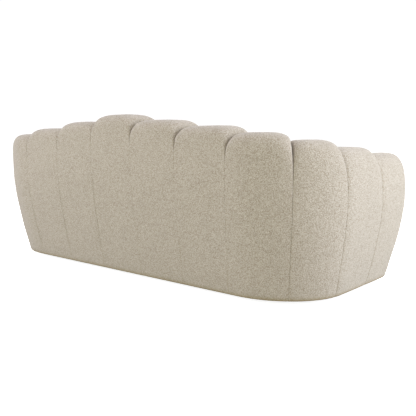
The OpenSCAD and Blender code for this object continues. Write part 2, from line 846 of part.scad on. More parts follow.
// Feet under the planks, and the places of the frame screws
dust_z = foot_h - fit_gap - dust_t;
foot_top = dust_z - fit_gap;
side_feet = [[(at(nose, strap_in).x + rim_x - rail_t) / 2, nose_y + foot_d],
    [straight, (rim_y + at(3, board_in).y - foot_d) / 2]];
middle_feet = [[0, front_face + front_plank_w / 2],
    [0, (rim_y - rail_t + at(3, board_in).y) / 2]];
post_mid = (post_in + strap_in) / 2;
screw_places = concat(
    [for (i = [1, 3, 5]) at(i, post_mid)],
    [along(nose + 1, nose, post_mid, timber / 2),
     [rim_x - rail_t / 2, (back_in + corner_out[0].y) / 2],
     [corner_in[1].x / 2, front_face + rail_t / 2],
     [corner_in[1].x / 2, rim_y - rail_t / 2]]);

module at_feet() {
    both() for (p = side_feet) translate(p) children();
    for (p = middle_feet) translate(p) children();
}

module at_screws() {
    both() for (p = screw_places) translate(p) children();
}

module screw(low, l) {
    translate([0, 0, low]) cylinder(h = screw_head_h, d = screw_head_d);
    translate([0, 0, low]) cylinder(h = l, d = screw_d);
}

module screw_hole(low, l) {
    translate([0, 0, low - over])
        cylinder(h = over + screw_head_h + fit_gap, d = screw_head_d + 2 * fit_gap);
    translate([0, 0, low]) cylinder(h = l + fit_gap, d = screw_d + 2 * fit_gap);
}

module screw_holes() {
    at_screws() screw_hole(foot_h, screw_l);
}

module foot_screw_holes() {
    at_feet() translate([0, 0, foot_h - over])
        cylinder(h = plank_t + 2 * over, d = screw_d + 2 * fit_gap);
}

module frame_screws() {
    color("silver") at_screws() screw(foot_h, screw_l);
}

module feet() {
    color("saddlebrown") at_feet() difference() {
        translate([0, 0, glide_t]) cylinder(h = foot_top - glide_t, d1 = foot_low_d, d2 = foot_d);
        screw_hole(glide_t, foot_screw_l);
    }
}

module foot_glides() {
    color("dimgray") at_feet() cylinder(h = glide_t, d = glide_d);
}

module foot_screws() {
    color("silver") at_feet() screw(glide_t, foot_screw_l);
}

module dust_cover() {
    soles = [for (p = concat(
        [for (k = [0:stations]) [straight * k / stations, 0]],
        [for (k = [1:stations]) [straight + arc * k / stations, 0]],
        [for (k = [0:nose_n]) [wall_end, quarter * k / nose_n]]))
        ring(p[0], 0, crest(0), crest(nose) - shoulder_h, p[1])[0]];
    half = [for (p = soles) [p.x * (1 - 2 * dust_in / sofa_w), p.y * (1 - 2 * dust_in / sofa_d)]];
    other = [for (k = [len(half) - 1:-1:1]) [-half[k].x, half[k].y]];
    color("dimgray") difference() {
        translate([0, 0, dust_z]) linear_extrude(dust_t) polygon(concat(half, other));
        foot_screw_holes();
    }
}

channel(0);  // channel_middle
left() channel(1);  // channel_back_left_1
left() channel(2);  // channel_back_left_2
left() channel(3);  // channel_back_left_3
channel(1);  // channel_back_right_1
channel(2);  // channel_back_right_2
channel(3);  // channel_back_right_3
left() channel(4);  // channel_corner_left
channel(4);  // channel_corner_right
left() channel(5);  // channel_arm_left
channel(5);  // channel_arm_right
left() nose_channel();  // channel_nose_left
nose_channel();  // channel_nose_right
front_apron();
cushion_cover();
cushion_core();
cushion_zip();
zip_slider();
deck_cloth();
deck_pad();
spring_insulator();
tie_wires();
sinuous_springs();
spring_clips();
front_rail();
back_rail();
left() side_rail();  // side_rail_left
side_rail();  // side_rail_right
corner_rails();
stretchers();
front_plank();
back_plank();
left() corner_plank();  // corner_plank_left
corner_plank();  // corner_plank_right
left() arm_plank();  // arm_plank_left
arm_plank();  // arm_plank_right
back_board();
left() corner_boards();  // corner_boards_left
corner_boards();  // corner_boards_right
left() arm_board();  // arm_board_left
arm_board();  // arm_board_right
back_posts();
left() arm_posts();  // arm_posts_left
arm_posts();  // arm_posts_right
back_top_rails();
left() arm_top_rails();  // arm_top_rails_left
arm_top_rails();  // arm_top_rails_right
back_lumbar_rails();
left() arm_lumbar_rails();  // arm_lumbar_rails_left
arm_lumbar_rails();  // arm_lumbar_rails_right
back_webbing();
left() arm_webbing();  // arm_webbing_left
arm_webbing();  // arm_webbing_right
frame_screws();
dust_cover();
feet();
foot_glides();
foot_screws();
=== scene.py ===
"""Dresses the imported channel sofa: padded channels round the back and both arms, an apron across the
front, a loose bench cushion on its sprung deck, and a finish on every part of the frame.
Sizes are in metres in the frame of the solids: the front is at -Y and the floor at z = 0.
Left and right are as seen from the front."""

import math

import bpy
import numpy as np
from bpy.props import FloatProperty, FloatVectorProperty, IntProperty, PointerProperty
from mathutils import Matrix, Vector, noise
from mathutils.bvhtree import BVHTree


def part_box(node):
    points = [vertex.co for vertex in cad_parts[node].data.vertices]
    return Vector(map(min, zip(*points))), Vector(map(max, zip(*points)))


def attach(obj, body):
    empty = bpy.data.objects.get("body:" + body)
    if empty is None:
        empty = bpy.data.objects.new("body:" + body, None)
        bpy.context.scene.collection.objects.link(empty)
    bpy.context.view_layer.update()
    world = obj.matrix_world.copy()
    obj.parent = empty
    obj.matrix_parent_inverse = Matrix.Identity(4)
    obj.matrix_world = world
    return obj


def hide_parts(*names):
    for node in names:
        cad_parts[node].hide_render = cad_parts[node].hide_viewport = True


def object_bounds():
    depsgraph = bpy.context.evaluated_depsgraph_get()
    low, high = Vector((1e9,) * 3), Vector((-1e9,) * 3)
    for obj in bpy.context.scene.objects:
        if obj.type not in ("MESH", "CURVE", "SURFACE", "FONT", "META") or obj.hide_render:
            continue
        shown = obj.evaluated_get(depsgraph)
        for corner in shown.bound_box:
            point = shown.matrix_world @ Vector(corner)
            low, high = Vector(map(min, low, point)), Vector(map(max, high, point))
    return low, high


bl_info = {
    "name": "Channel Sofa Upholstery",
    "version": (1, 0, 0),
    "blender": (4, 5, 0),
    "location": "3D View > Sidebar > Sofa",
    "description": "Builds the padding, cushion and finishes of a channel sofa over its packed frame",
    "category": "Object",
}

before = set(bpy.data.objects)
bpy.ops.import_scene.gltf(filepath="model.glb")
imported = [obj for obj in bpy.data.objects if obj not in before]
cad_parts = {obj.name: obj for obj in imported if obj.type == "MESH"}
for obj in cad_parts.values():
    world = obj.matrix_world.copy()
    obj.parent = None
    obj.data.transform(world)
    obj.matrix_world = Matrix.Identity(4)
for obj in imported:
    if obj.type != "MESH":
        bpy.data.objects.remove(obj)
CAD_LOW, CAD_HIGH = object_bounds()
HALF_W, HALF_D, SOFA_H = CAD_HIGH.x, CAD_HIGH.y, CAD_HIGH.z
QUARTER = math.pi / 2

# Plan and profile of the padded wall, as in its solids
FOOT_H, TUCK, SEW_GAP = 0.026, 0.009, 0.0006
CORNER_LEAD, TURN_PITCH, CORNER_PITCH, ARM_PITCH_SHARE = 0.04, 0.288, 0.253, 0.608
CORNER_R, INNER_R, BACK_T, ARM_T = 0.351, 0.13, 0.31, 0.27
BACK_CREST_IN, ARM_CREST_IN, BACK_SHOULDER_H, SHOULDER_H = 0.129, 0.104, 0.11, 0.24
INNER_DROP, INNER_LEAN, NOSE_L = 0.19, 0.03, 0.11
TAPER_X, TAPER_Y, TAPER_POWER, LOW_BULGE = 0.051, 0.151, 1.45, 0.65
MIDDLE_TAPER, MIDDLE_X, MIDDLE_RUN = 0.5, 0.3, 0.5
TIP_W, TIP_H, ROUND_POWER, ROLL_POWER = 0.33, 0.35, 2.4, 1.8
# Powers of the outer shoulder on the back, on the arms and at a seam
BACK_POWER, ARM_POWER, CUT_POWER = 4.6, 3.4, 1.9
# Shares of the swell by which a seam stands out on the lower face, where that share changes on
# the corner, and the shares of the shoulder's height between which it ends
BACK_FLAT, ARM_FLAT, FLAT_TURN, FLAT_END, FLAT_TOP = 0.9, 0.65, 0.45, 0.55, 0.88
WALL_IN, SLOT_IN, TOP_COVER, LEG_LOW = 0.13, 0.1929, 0.1, 0.0443
DECK_Z = 0.262
NOSE = 6

# Mesh counts: stations across a channel, rows up its outside, down its inside and below the deck,
# and the rows at which its sewn ends pass to the next corner of the slot
STATIONS, OUT_ROWS, IN_ROWS, LEG_ROWS = 48, 150, 100, 5
SLOT_ROWS = (72, OUT_ROWS - 1, 198)
# Points from which the bends, the foot and the straights of a ring are spaced
BEND_POINTS, FOOT_STEP, LINE_POINTS = 60, 6, 50
# Shares of the way in at which the nose's tip closes, and how far it swells
TIP_SHARES, TIP_IN, TIP_SWELL = (0.12, 0.28, 0.46, 0.66, 0.86), 0.03, 0.004

# Painted shade in the seams, darkened into the cover's colour: the row at the middle of the deep
# crease on the shoulder, its reach in rows, and its depth between the back's channels and at the
# others
LENS_ROW, LENS_RUN, BACK_LENS, OTHER_LENS = 134, 9, 0.9, 0.15
# Painted shade below that crease: the row where it starts, the rows over which it grows, its growth
# and its least depth, and the depth of the painted shade inside the wall
SHADE_ROW, SHADE_ROWS, SHADE_GROWTH, LEAST_SHADE, INNER_SHADE = 60, 60, 0.14, 0.1, 0.4
# Reach of the painted shade from a seam, in the crease and elsewhere, and depth and reach of the
# painted shade at the bottom edge
LENS_REACH, SHADE_REACH, SHADE_POWER, EDGE_SHADE, EDGE_REACH = 0.012, 0.0065, 1.5, 0.65, 0.013
# Depth and reach of the painted shade along the apron's bottom edge and beside the cushion's welts
APRON_SHADE, APRON_REACH, WELT_SHADE, WELT_REACH = 0.35, 0.012, 0.55, 0.009

# Filling: lumps per metre, smaller lumps per metre and their share, how fast a fold changes on its
# way out from a seam, and what keeps the folds of a channel's two sides apart
LUMP_SCALE, SMALL_SCALE, SMALL_SHARE, FOLD_DRIFT, FOLD_APART = 7.0, 24.0, 0.35, 5, 4.7
# Where folds and lumps begin, from a seam, and over what distance they grow
FOLD_START, FOLD_GROWTH, LUMP_START, LUMP_GROWTH = 0.001, 0.006, 0.003, 0.03
# Both fade at the bottom edge and towards the seat: distances over which they do
FOOT_FADE, SEAT_CLEAR, SEAT_FADE = 0.03, 0.2, 0.25

# Cushion and apron, as in their solids
CUSHION_X, CUSHION_BACK, CUSHION_FRONT = 0.835, 0.146, -0.455
CUSHION_LOW, CUSHION_H, CUSHION_CROWN = 0.2623, 0.158, 0.022
EDGE_R, FRONT_R, BORDER_BULGE, SIDE_DRAW, WRAP_T = 0.026, 0.06, 0.007, 0.006, 0.014
APRON_X, APRON_FACE, APRON_BACK, APRON_TOP = 0.8402, -0.3603, -0.3353, 0.2617
APRON_T, APRON_LOW_T, APRON_R, APRON_BULGE = 0.074, 0.034, 0.034, 0.008
# The cover's form before it is filled starts this far inside its solid, and the foam lies this far
# inside the cover. The border that holds the zip may swell no further than the last of these.
FORM_IN, FOAM_GAP, ZIP_BORDER_CAP = 0.001, 0.0003, 0.0002
# Folds and lumps of the cover: per metre, their height, and how far folds run in from the welts
COVER_FOLDS, COVER_FOLD_H, COVER_LUMPS, COVER_LUMP_H = (14, 14, 30), 0.0016, 8.0, 0.0012
COVER_FOLD_RUN, COVER_FOLD_START = 0.04, 0.012

# Seat deck: its rim, its area, the gap to what lies in front or below, the distance between springs,
# the fall and ripple of the cloth over them, and its stitches
RIM_X, RIM_Y, DECK_AREA, DECK_GAP, SPRING_PITCH = 0.8402, 0.1582, 0.8215, 0.0003, 0.1138
DECK_FALL, DECK_RIPPLE, DECK_WAVE, DECK_EDGE = 0.0016, 0.0007, 0.0009, 0.06
STITCH_IN, STITCH_PITCH, THREAD_R = 0.012, 0.007, 0.00035

# What makes one light and one dark band of a wave cover two threads of woven cloth
THREAD_PAIR = 6.28

# Dust cover: how far it lies inside the bottom edge, the shares at which it is drawn towards its
# middle, and its hang and unevenness between the feet
DUST_IN, DUST_HANG, DUST_WAVE, DUST_SCALE = 0.018, 0.0016, 0.0014, 7.0
DUST_SHARES = (1, 0.985, 0.96, 0.92, 0.86, 0.78, 0.7, 0.6, 0.5, 0.4, 0.3, 0.2, 0.1, 0.03)

# Zip: height of the tape and of the slider's bridge over the lowest point, thickness of the tape,
# what the teeth leave free at each end, half the slider's width, and its shield in millimetres
TAPE_UP, TAPE_T, TEETH_FREE, SLIDER_HALF, BRIDGE_UP = 0.0012, 0.0011, 0.006, 0.00525, 0.0034
SHIELD = ((-8, -3.2), (-6, -4.6), (-2, -5.25), (5, -5.25), (7.4, -4.4), (8, -2),
          (8, 2), (7.4, 4.4), (5, 5.25), (-2, 5.25), (-6, 4.6), (-8, 3.2))

# Lights: name, the setting with its power, place, size and colour. All of them face the aim.
LIGHTS = (("arm_side_light", "key", (-3.3, -0.9, 1.7), 2.2, (0.96, 1.0, 1.1)),
          ("far_side_light", "fill", (3.5, 2.3, 1.3), 2.0, (1.06, 1.0, 1.18)),
          ("near_corner_light", "corner", (-3.2, 3.0, 1.3), 2.6, (1.08, 1.0, 0.74)),
          ("back_light", "back", (0.8, 4.0, 1.2), 2.6, (0.93, 1.0, 0.84)),
          ("overhead_light", "overhead", (0.2, 0.7, 3.2), 3.0, (1.08, 1.0, 1.18)),
          ("front_light", "front", (0.8, -3.6, 2.0), 2.4, (1.03, 1.0, 0.88)))
LIGHT_AIM, FLOOR_R = (0, 0, 0.45), 30.0
# The camera's place, and its turn and fall in degrees
CAMERA_PLACE, CAMERA_TURN, CAMERA_FALL = (-2.2108, 2.3359, 0.699), 40.394, 6.783


def length(name, description, default):
    """A length that a user may change."""
    return FloatProperty(name=name, description=description, default=default, min=0,
                         unit="LENGTH", precision=4)


def shade(name, description, default):
    """A linear colour that a user may change."""
    return FloatVectorProperty(name=name, description=description, default=default, min=0, max=1,
                               size=3, subtype="COLOR")


def power(name, description, default):
    """A light's power that a user may change."""
    return FloatProperty(name=name, description=description, default=default, min=0,
                         subtype="POWER", unit="POWER")


class SofaPadding(bpy.types.PropertyGroup):
    """Sizes of the padding that a user may change."""

    crest_step: length("Crest step", "Drop from each channel to the next one outwards", 0.031)
    seam_dip: length("Seam dip", "Dip of a seam below the lower of its two channels", 0.0165)
    back_bulge: length("Back swell", "How far a back channel swells past its seams", 0.012)
    arm_bulge: length("Arm swell", "How far an arm channel swells past its seams", 0.016)
    inner_bulge: length("Inner swell", "How far a channel swells past its seams inside", 0.018)
    seam_power: FloatProperty(name="Fullness", description="Fullness of a channel between seams",
                              default=3.1, min=1.5, max=4)
    lump: length("Lumps", "Height of the soft unevenness of the filling", 0.0016)
    pucker: length("Puckers", "Height of the small folds along a seam", 0.0022)
    pucker_run: length("Pucker run", "How far the folds run out from a seam", 0.03)
    pucker_pitch: length("Pucker pitch", "Usual distance between two folds", 0.024)


class SofaCushion(bpy.types.PropertyGroup):
    """Sizes of the bench cushion that a user may change."""

    voxel: length("Cloth mesh", "Size of the cushion's mesh before it is inflated", 0.009)
    pressure: FloatProperty(name="Pressure", description="Pressure that fills the cover",
                            default=4, min=0, max=20)
    steps: IntProperty(name="Steps", description="Steps of the cloth run", default=20, min=2)
    crown_cap: length("Crown limit", "How far the top may rise under pressure", 0.014)
    border_cap: length("Border limit", "How far the border may swell under pressure", 0.003)
    welt_r: length("Welt radius", "Radius of the covered welt along the edges", 0.0045)
    tooth_pitch: length("Tooth pitch", "Distance between two teeth of the zip", 0.0026)


class SofaColours(bpy.types.PropertyGroup):
    """Colours that a user may change."""

    yarn: shade("Yarn", "Main colour of the looped cover cloth", (0.485, 0.446, 0.383))
    yarn_light: shade("Light yarn", "Colour of the raised loops", (0.64, 0.60, 0.53))
    yarn_dark: shade("Dark yarn", "Colour between the loops", (0.29, 0.25, 0.192))
    # Colour of the painted shade in the seams, beside the welts and along the bottom edges
    crease: shade("Crease", "Colour deep in the seams", (0.2, 0.14, 0.02))
    deck: shade("Deck cloth", "Colour of the plain cloth under the cushion", (0.42, 0.37, 0.29))
    pine: shade("Frame timber", "Colour of the sawn frame timber", (0.56, 0.37, 0.19))
    ply: shade("Plywood", "Colour of the plywood faces", (0.60, 0.43, 0.24))
    stain: shade("Foot stain", "Colour of the stained feet", (0.035, 0.018, 0.01))


class SofaStage(bpy.types.PropertyGroup):
    """Studio settings that a user may change."""

    key: power("Key light", "Power of the soft light on the arm side", 111)
    fill: power("Fill light", "Power of the soft light on the far side of the back", 52)
    corner: power("Corner light", "Power of the soft light on the near back corner", 30)
    back: power("Back light", "Power of the soft light on the back", 53)
    overhead: power("Overhead light", "Power of the soft light from above", 41)
    front: power("Front light", "Power of the soft light on the front", 70)
    sky: FloatProperty(name="Room light", description="Strength of the even light of the room",
                       default=0.4, min=0)
    lens: FloatProperty(name="Lens", description="Focal length of the camera", default=50.25, min=10,
                        unit="CAMERA")


def lerp(a, b, t):
    return a + (b - a) * t


def clamp01(t):
    return np.clip(t, 0, 1)


def round_cos(a, roundness=ROUND_POWER):
    return np.maximum(np.cos(a), 0) ** (2 / roundness)


def round_sin(a, roundness=ROUND_POWER):
    return np.maximum(np.sin(a), 0) ** (2 / roundness)


def swell(w, fullness):
    """How full a channel is at each place across it: 0 at its seams, -1 and 1, and 1 between."""
    return np.maximum(1 - np.abs(w) ** fullness, 0) ** (1 / fullness)


def smooth_step(t):
    t = clamp01(t)
    return t * t * (3 - 2 * t)


def spread_evenly(line, count):
    """That many points, evenly spaced along an open line of points."""
    run = np.r_[0, np.cumsum(np.linalg.norm(np.diff(line, axis=0), axis=1))]
    at = np.linspace(0, run[-1], count)
    return np.column_stack([np.interp(at, run, line[:, c]) for c in range(3)])


def noise_at(points, scale, seed=0.0):
    """Smooth noise from about -1 to 1 at each point."""
    return np.array([noise.noise(Vector(p) + Vector((seed, seed, seed))) for p in points * scale])


class Wall:
    """Plan and profile of the padded wall, for the sizes that the user chose.
    A length s runs along its outer seam line, from the middle of the back to the arm's front."""

    def __init__(self, sizes):
        self.sizes = sizes
        self.seam_x, self.seam_y = HALF_W - sizes.arm_bulge, HALF_D - sizes.back_bulge
        self.inner_x, self.inner_y = self.seam_x - ARM_T, self.seam_y - BACK_T
        self.straight, self.arc = self.seam_x - CORNER_R, CORNER_R * QUARTER
        self.inner_straight = self.inner_x - INNER_R
        nose_y = -HALF_D + NOSE_L
        self.arm_run = self.seam_y - CORNER_R - nose_y
        self.inner_run = self.inner_y - INNER_R - nose_y
        self.end = self.straight + self.arc + self.arm_run
        third = self.straight - CORNER_LEAD
        pitch = third * 2 / 5
        fifth = third + TURN_PITCH + CORNER_PITCH
        self.seams = [-pitch / 2, pitch / 2, pitch * 3 / 2, third, third + TURN_PITCH, fifth,
                      lerp(fifth, self.end, ARM_PITCH_SHARE), self.end]

    def crest(self, i):
        """Height of channel i, counted from the middle of the back."""
        return SOFA_H - self.sizes.crest_step * i

    def seam_h(self, i):
        """Height of the seam between channels i - 1 and i."""
        return self.crest(max(1, min(NOSE, i))) - self.sizes.seam_dip

    def slot_top(self, i):
        return self.seam_h(i) - TOP_COVER

    def turn(self, s):
        """How far the wall has turned round its corner at length s."""
        return QUARTER * float(clamp01((s - self.straight) / self.arc))

    def outward(self, s):
        return np.array([math.sin(self.turn(s)), math.cos(self.turn(s))])

    def inset(self, s, d):
        """Plan points at length s, each d inside the seam line."""
        d = np.atleast_1d(d)[:, None]
        if s <= self.straight:
            return np.hstack([np.full_like(d, s), self.seam_y - d])
        past = max(0.0, s - self.straight - self.arc)
        return (np.array([self.straight, self.seam_y - CORNER_R - past])
                + (CORNER_R - d) * self.outward(s))

    def inner_line(self, s):
        """Plan point at the foot of the inner face, beside length s."""
        if s <= self.straight:
            return np.array([s * self.inner_straight / self.straight, self.inner_y])
        past = max(0.0, s - self.straight - self.arc) * self.inner_run / self.arm_run
        return (np.array([self.inner_straight, self.inner_y - INNER_R - past])
                + INNER_R * self.outward(s))

    def inner_face(self, s, t, f):
        """Plan points of the inner face, t of the way up from the deck to its shoulder."""
        t = np.atleast_1d(t)[:, None]
        out = INNER_LEAN * t - f * self.sizes.inner_bulge * clamp01(2 * t)
        return self.inner_line(s) + self.outward(s) * out

    def nosed(self, p, a):
        """Draws plan points round the front of the arm, as far as the turn a."""
        if a == 0:
            return p
        middle = self.seam_x - ARM_T / 2
        x = lerp(middle, p[:, 0], lerp(TIP_W, 1, round_cos(a)))
        return np.column_stack([x, p[:, 1] - NOSE_L * round_sin(a)])

    def tapered(self, p, z, belly, inner, a):
        """Draws the points in towards the bottom and gives them their heights."""
        near = 1.0 if a == 0 else clamp01(1 - (self.seam_x - p[:, 0]) / ARM_T)
        front = round_sin(a)
        share_x, share_y = (near * front, front) if inner else (near, np.maximum(near, front))
        share_x = share_x * lerp(MIDDLE_TAPER, 1, smooth_step((np.abs(p[:, 0]) - MIDDLE_X)
                                                              / MIDDLE_RUN))
        draw = clamp01((belly - z) / (belly - FOOT_H)) ** TAPER_POWER
        return np.column_stack([p[:, 0] * (1 - TAPER_X * share_x * draw),
                                p[:, 1] * (1 - TAPER_Y * share_y * draw), z])

    def ring(self, s, f, h, belly, a=0.0):
        """One ring of the padding, at length s: up the outside, over the crest and down the inside.
        f is the swell, h the crest height, belly where the taper starts and a the nose's turn."""
        side = self.turn(s) / QUARTER
        bulge = lerp(self.sizes.back_bulge, self.sizes.arm_bulge, side)
        flat = lerp(BACK_FLAT, ARM_FLAT, smooth_step(side / FLAT_TURN))
        crest_in = lerp(BACK_CREST_IN, ARM_CREST_IN, side)
        start = belly + (SHOULDER_H - BACK_SHOULDER_H) * (1 - side)
        roundness = lerp(CUT_POWER, lerp(BACK_POWER, ARM_POWER, smooth_step(side)), f)
        low_in, leg_z = h - INNER_DROP, lerp(LEG_LOW, FOOT_H, round_sin(a))
        b = np.linspace(0, QUARTER, BEND_POINTS)
        bend, foot = b[1:], b[::FOOT_STEP]
        u = np.linspace(0, 1, LINE_POINTS)[1:]
        low, up = bulge * lerp(f, 1, flat), round_sin(bend, roundness)
        out = bulge * lerp(f, 1, flat * smooth_step((FLAT_TOP - up) / (FLAT_TOP - FLAT_END)))
        d = np.concatenate([TUCK - LOW_BULGE * low - TUCK * np.sin(foot),
                            -low * lerp(LOW_BULGE, 1, u),
                            lerp(crest_in, -out, round_cos(bend, roundness))])
        z = np.concatenate([FOOT_H + TUCK * (1 - np.cos(foot)), lerp(FOOT_H + TUCK, start, u),
                            lerp(start, h, up)])
        outer = self.tapered(self.nosed(self.inset(s, d), a), z, belly, False, a)
        crest_p, shoulder = self.inset(s, crest_in), self.inner_face(s, 1, f)
        over = lerp(crest_p, shoulder, round_sin(b, ROLL_POWER)[:, None])
        t = np.linspace(1, 0, LINE_POINTS)[1:]
        p = np.vstack([over, self.inner_face(s, t, f)])
        z = np.concatenate([lerp(low_in, h, round_cos(b, ROLL_POWER)), lerp(DECK_Z, low_in, t)])
        inner = self.tapered(self.nosed(p, a), z, belly, True, a)
        z = np.linspace(DECK_Z, leg_z, LEG_ROWS + 1)[1:]
        p = np.repeat(self.inner_line(s)[None], LEG_ROWS, axis=0)
        leg = self.tapered(self.nosed(p, a), z, belly, True, a)
        return np.vstack([spread_evenly(outer, OUT_ROWS), spread_evenly(inner, IN_ROWS + 1)[1:],
                          leg])

    def slot(self, s, top):
        """The four corners of the slot that holds the frame, at length s."""
        places = [(WALL_IN, FOOT_H), (WALL_IN, top), (SLOT_IN, top), (SLOT_IN, LEG_LOW)]
        return np.array([[*self.inset(s, d)[0], z] for d, z in places])

    def channel(self, i):
        """Rings, distances from the seams and slots of channel i, counted from the middle."""
        start, end = self.seams[i] + SEW_GAP / 2, self.seams[i + 1] - SEW_GAP / 2
        rings, seam_far = [], []
        for w in np.sin(np.linspace(-QUARTER, QUARTER, STATIONS + 1)):
            f = swell(w, self.sizes.seam_power)
            h = lerp(self.seam_h(i if w < 0 else i + 1), self.crest(i), f)
            rings.append(self.ring(lerp(start, end, (w + 1) / 2), f, h, h - SHOULDER_H))
            seam_far.append((1 - abs(w)) * (end - start) / 2)
        slots = [self.slot(start, self.slot_top(i)), self.slot(end, self.slot_top(i + 1))]
        return np.array(rings), np.array(seam_far), slots

    def nose(self):
        """The same for the last channel, which runs round the front of the arm."""
        start, belly = self.seams[NOSE] + SEW_GAP / 2, self.crest(NOSE) - SHOULDER_H
        rings, seam_far = [], []
        for w in np.sin(np.linspace(-QUARTER, 0, STATIONS // 2 + 1)):
            f = swell(w, self.sizes.seam_power)
            h = lerp(self.seam_h(NOSE), self.crest(NOSE), f)
            rings.append(self.ring(lerp(start, self.end, w + 1), f, h, h - SHOULDER_H))
            seam_far.append((1 + w) * (self.end - start))
        for a in np.linspace(0, QUARTER, STATIONS // 2 + 1)[1:]:
            h = lerp(belly, self.crest(NOSE), lerp(TIP_H, 1, round_cos(a)))
            rings.append(self.ring(self.end, 1, h, belly, a))
            seam_far.append(self.end - start + NOSE_L * math.sin(a))
        slots = [self.slot(s, self.slot_top(NOSE)) for s in (start, self.end)]
        return np.array(rings), np.array(seam_far), slots


def crumpled(rings, seam_far, sizes, seed):
    """Moves the rings' points out and in a little, as the filling and the sewn seams do.
    Next to a seam no point moves across it, so that neighbours still meet."""
    along = np.gradient(rings, axis=1)
    across = np.gradient(rings, axis=0)
    normal = np.cross(along, across)
    side = across - along * (across * along).sum(2, keepdims=True) / np.maximum(
        (along * along).sum(2, keepdims=True), 1e-12)
    side[..., 2] = 0
    side /= np.maximum(np.linalg.norm(side, axis=2, keepdims=True), 1e-9)
    normal /= np.maximum(np.linalg.norm(normal, axis=2, keepdims=True), 1e-9)
    flat = rings.reshape(-1, 3)
    far = np.broadcast_to(seam_far[:, None], rings.shape[:2])
    run = np.cumsum(np.r_["1", np.zeros((len(rings), 1)),
                          np.linalg.norm(np.diff(rings, axis=1), axis=2)], axis=1)
    half = np.broadcast_to(np.sign(np.arange(len(rings)) - len(rings) / 2)[:, None], run.shape)
    folds = np.column_stack([run.ravel() / sizes.pucker_pitch, FOLD_APART * half.ravel() + seed,
                             far.ravel() * FOLD_DRIFT])
    fold = noise_at(folds, 1.0).reshape(far.shape)
    lumps = noise_at(flat, LUMP_SCALE, seed).reshape(far.shape)
    small = noise_at(flat, SMALL_SCALE, seed).reshape(far.shape)
    near = smooth_step((far - FOLD_START) / FOLD_GROWTH)
    clear = smooth_step((far - LUMP_START) / LUMP_GROWTH)
    ends = smooth_step(run / FOOT_FADE) * smooth_step((run[:, -1:] - run - SEAT_CLEAR) / SEAT_FADE)
    move = ends * (near * np.exp(-far / sizes.pucker_run) * sizes.pucker * fold
                   + clear * sizes.lump * (lumps + SMALL_SHARE * small))
    normal -= side * (normal * side).sum(2, keepdims=True) * (1 - near[..., None])
    return rings + normal * move[..., None]


def new_piece(name, points, faces, material, body="sofa_frame", sharp=60):
    """A smooth mesh piece that rides on a body."""
    mesh = bpy.data.meshes.new(name)
    mesh.from_pydata(np.asarray(points).tolist(), [], faces)
    mesh.shade_smooth()
    mesh.set_sharp_from_angle(angle=math.radians(sharp))
    mesh.materials.append(material)
    piece = bpy.data.objects.new(name, mesh)
    bpy.context.scene.collection.objects.link(piece)
    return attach(piece, body)


def give_values(piece, name, values):
    """Stores one number for each point of a piece, for its material."""
    made = piece.data.attributes.new(name, "FLOAT", "POINT")
    made.data.foreach_set("value", np.asarray(values, np.float32))


def edge_shade(points, depth, reach):
    """How dark the painted shade makes each point along the bottom edge of the cover."""
    return depth * np.exp(-((points[:, 2] - FOOT_H) / reach) ** 2)


def skin_faces(n, m, ring_closed=False):
    """Quads between n rings of m points."""
    rows = np.arange(m if ring_closed else m - 1)
    k, j = np.meshgrid(np.arange(n - 1), rows, indexing="ij")
    i = (j + 1) % m
    return np.stack([k * m + j, k * m + i, (k + 1) * m + i, (k + 1) * m + j], -1).reshape(-1, 4)


def padding_mesh(rings, slots, tip):
    """Points and faces of one channel: its skin, its sewn ends, its slot and its soles.
    Points a to a + 3 are the slot's corners at the first ring, and b to b + 3 at the last one."""
    n, m = rings.shape[:2]
    last, end = m - 1, (n - 1) * m
    a, b = n * m, n * m + 4
    corner = np.searchsorted(SLOT_ROWS, np.arange(m), side="right")
    faces = skin_faces(n, m).tolist()
    # The sewn ends, from the first and the last ring to the slot
    for first, hole, flip in ((0, a, False), (end, b, True)):
        if flip and tip:
            continue
        for j in range(last):
            new = [[first + j, hole + corner[j], first + j + 1]]
            if corner[j] != corner[j + 1]:
                new.append([first + j + 1, hole + corner[j], hole + corner[j + 1]])
            faces += [f[::-1] for f in new] if flip else new
    # The slot's walls, and the soles between its open bottom and the skin's two edges
    faces += [[a + c, b + c, b + c + 1, a + c + 1] for c in range(3)]
    half = n // 2
    for k in range(n - 1):
        sole, leg = (a, a + 3) if k < half else (b, b + 3)
        faces += [[k * m, (k + 1) * m, sole], [(k + 1) * m + last, k * m + last, leg]]
    faces += [[half * m, b, a], [half * m + last, a + 3, b + 3]]
    points = [rings.reshape(-1, 3), *slots]
    # The front of the arm, closed by smaller and smaller rings
    if tip:
        base = rings[-1]
        middle = np.column_stack([np.full(m, base[:, 0].mean()), base[:, 1],
                                  np.clip(base[:, 2], FOOT_H + TIP_IN, base[:, 2].max() - TIP_IN)])
        before, made = np.arange(end, end + m), n * m + 8
        for t in TIP_SHARES:
            ring = lerp(base, middle, t)
            ring[:, 1] -= TIP_SWELL * math.sqrt(1 - (1 - t) ** 2)
            points.append(ring)
            here = np.arange(made, made + m)
            faces += np.column_stack([before, np.roll(before, -1), np.roll(here, -1),
                                      here]).tolist()
            before, made = here, made + m
        faces += [before.tolist(), [end, end + last, b + 3, b], [b + 3, b + 2, b + 1, b]]
    return np.vstack(points), faces


def loft(rings):
    """Points and faces of a closed form through closed rings, each end filled with one face."""
    n, m = rings.shape[:2]
    faces = skin_faces(n, m, True).tolist()
    faces += [list(range(m)), list(range((n - 1) * m, n * m))[::-1]]
    return rings.reshape(-1, 3), faces


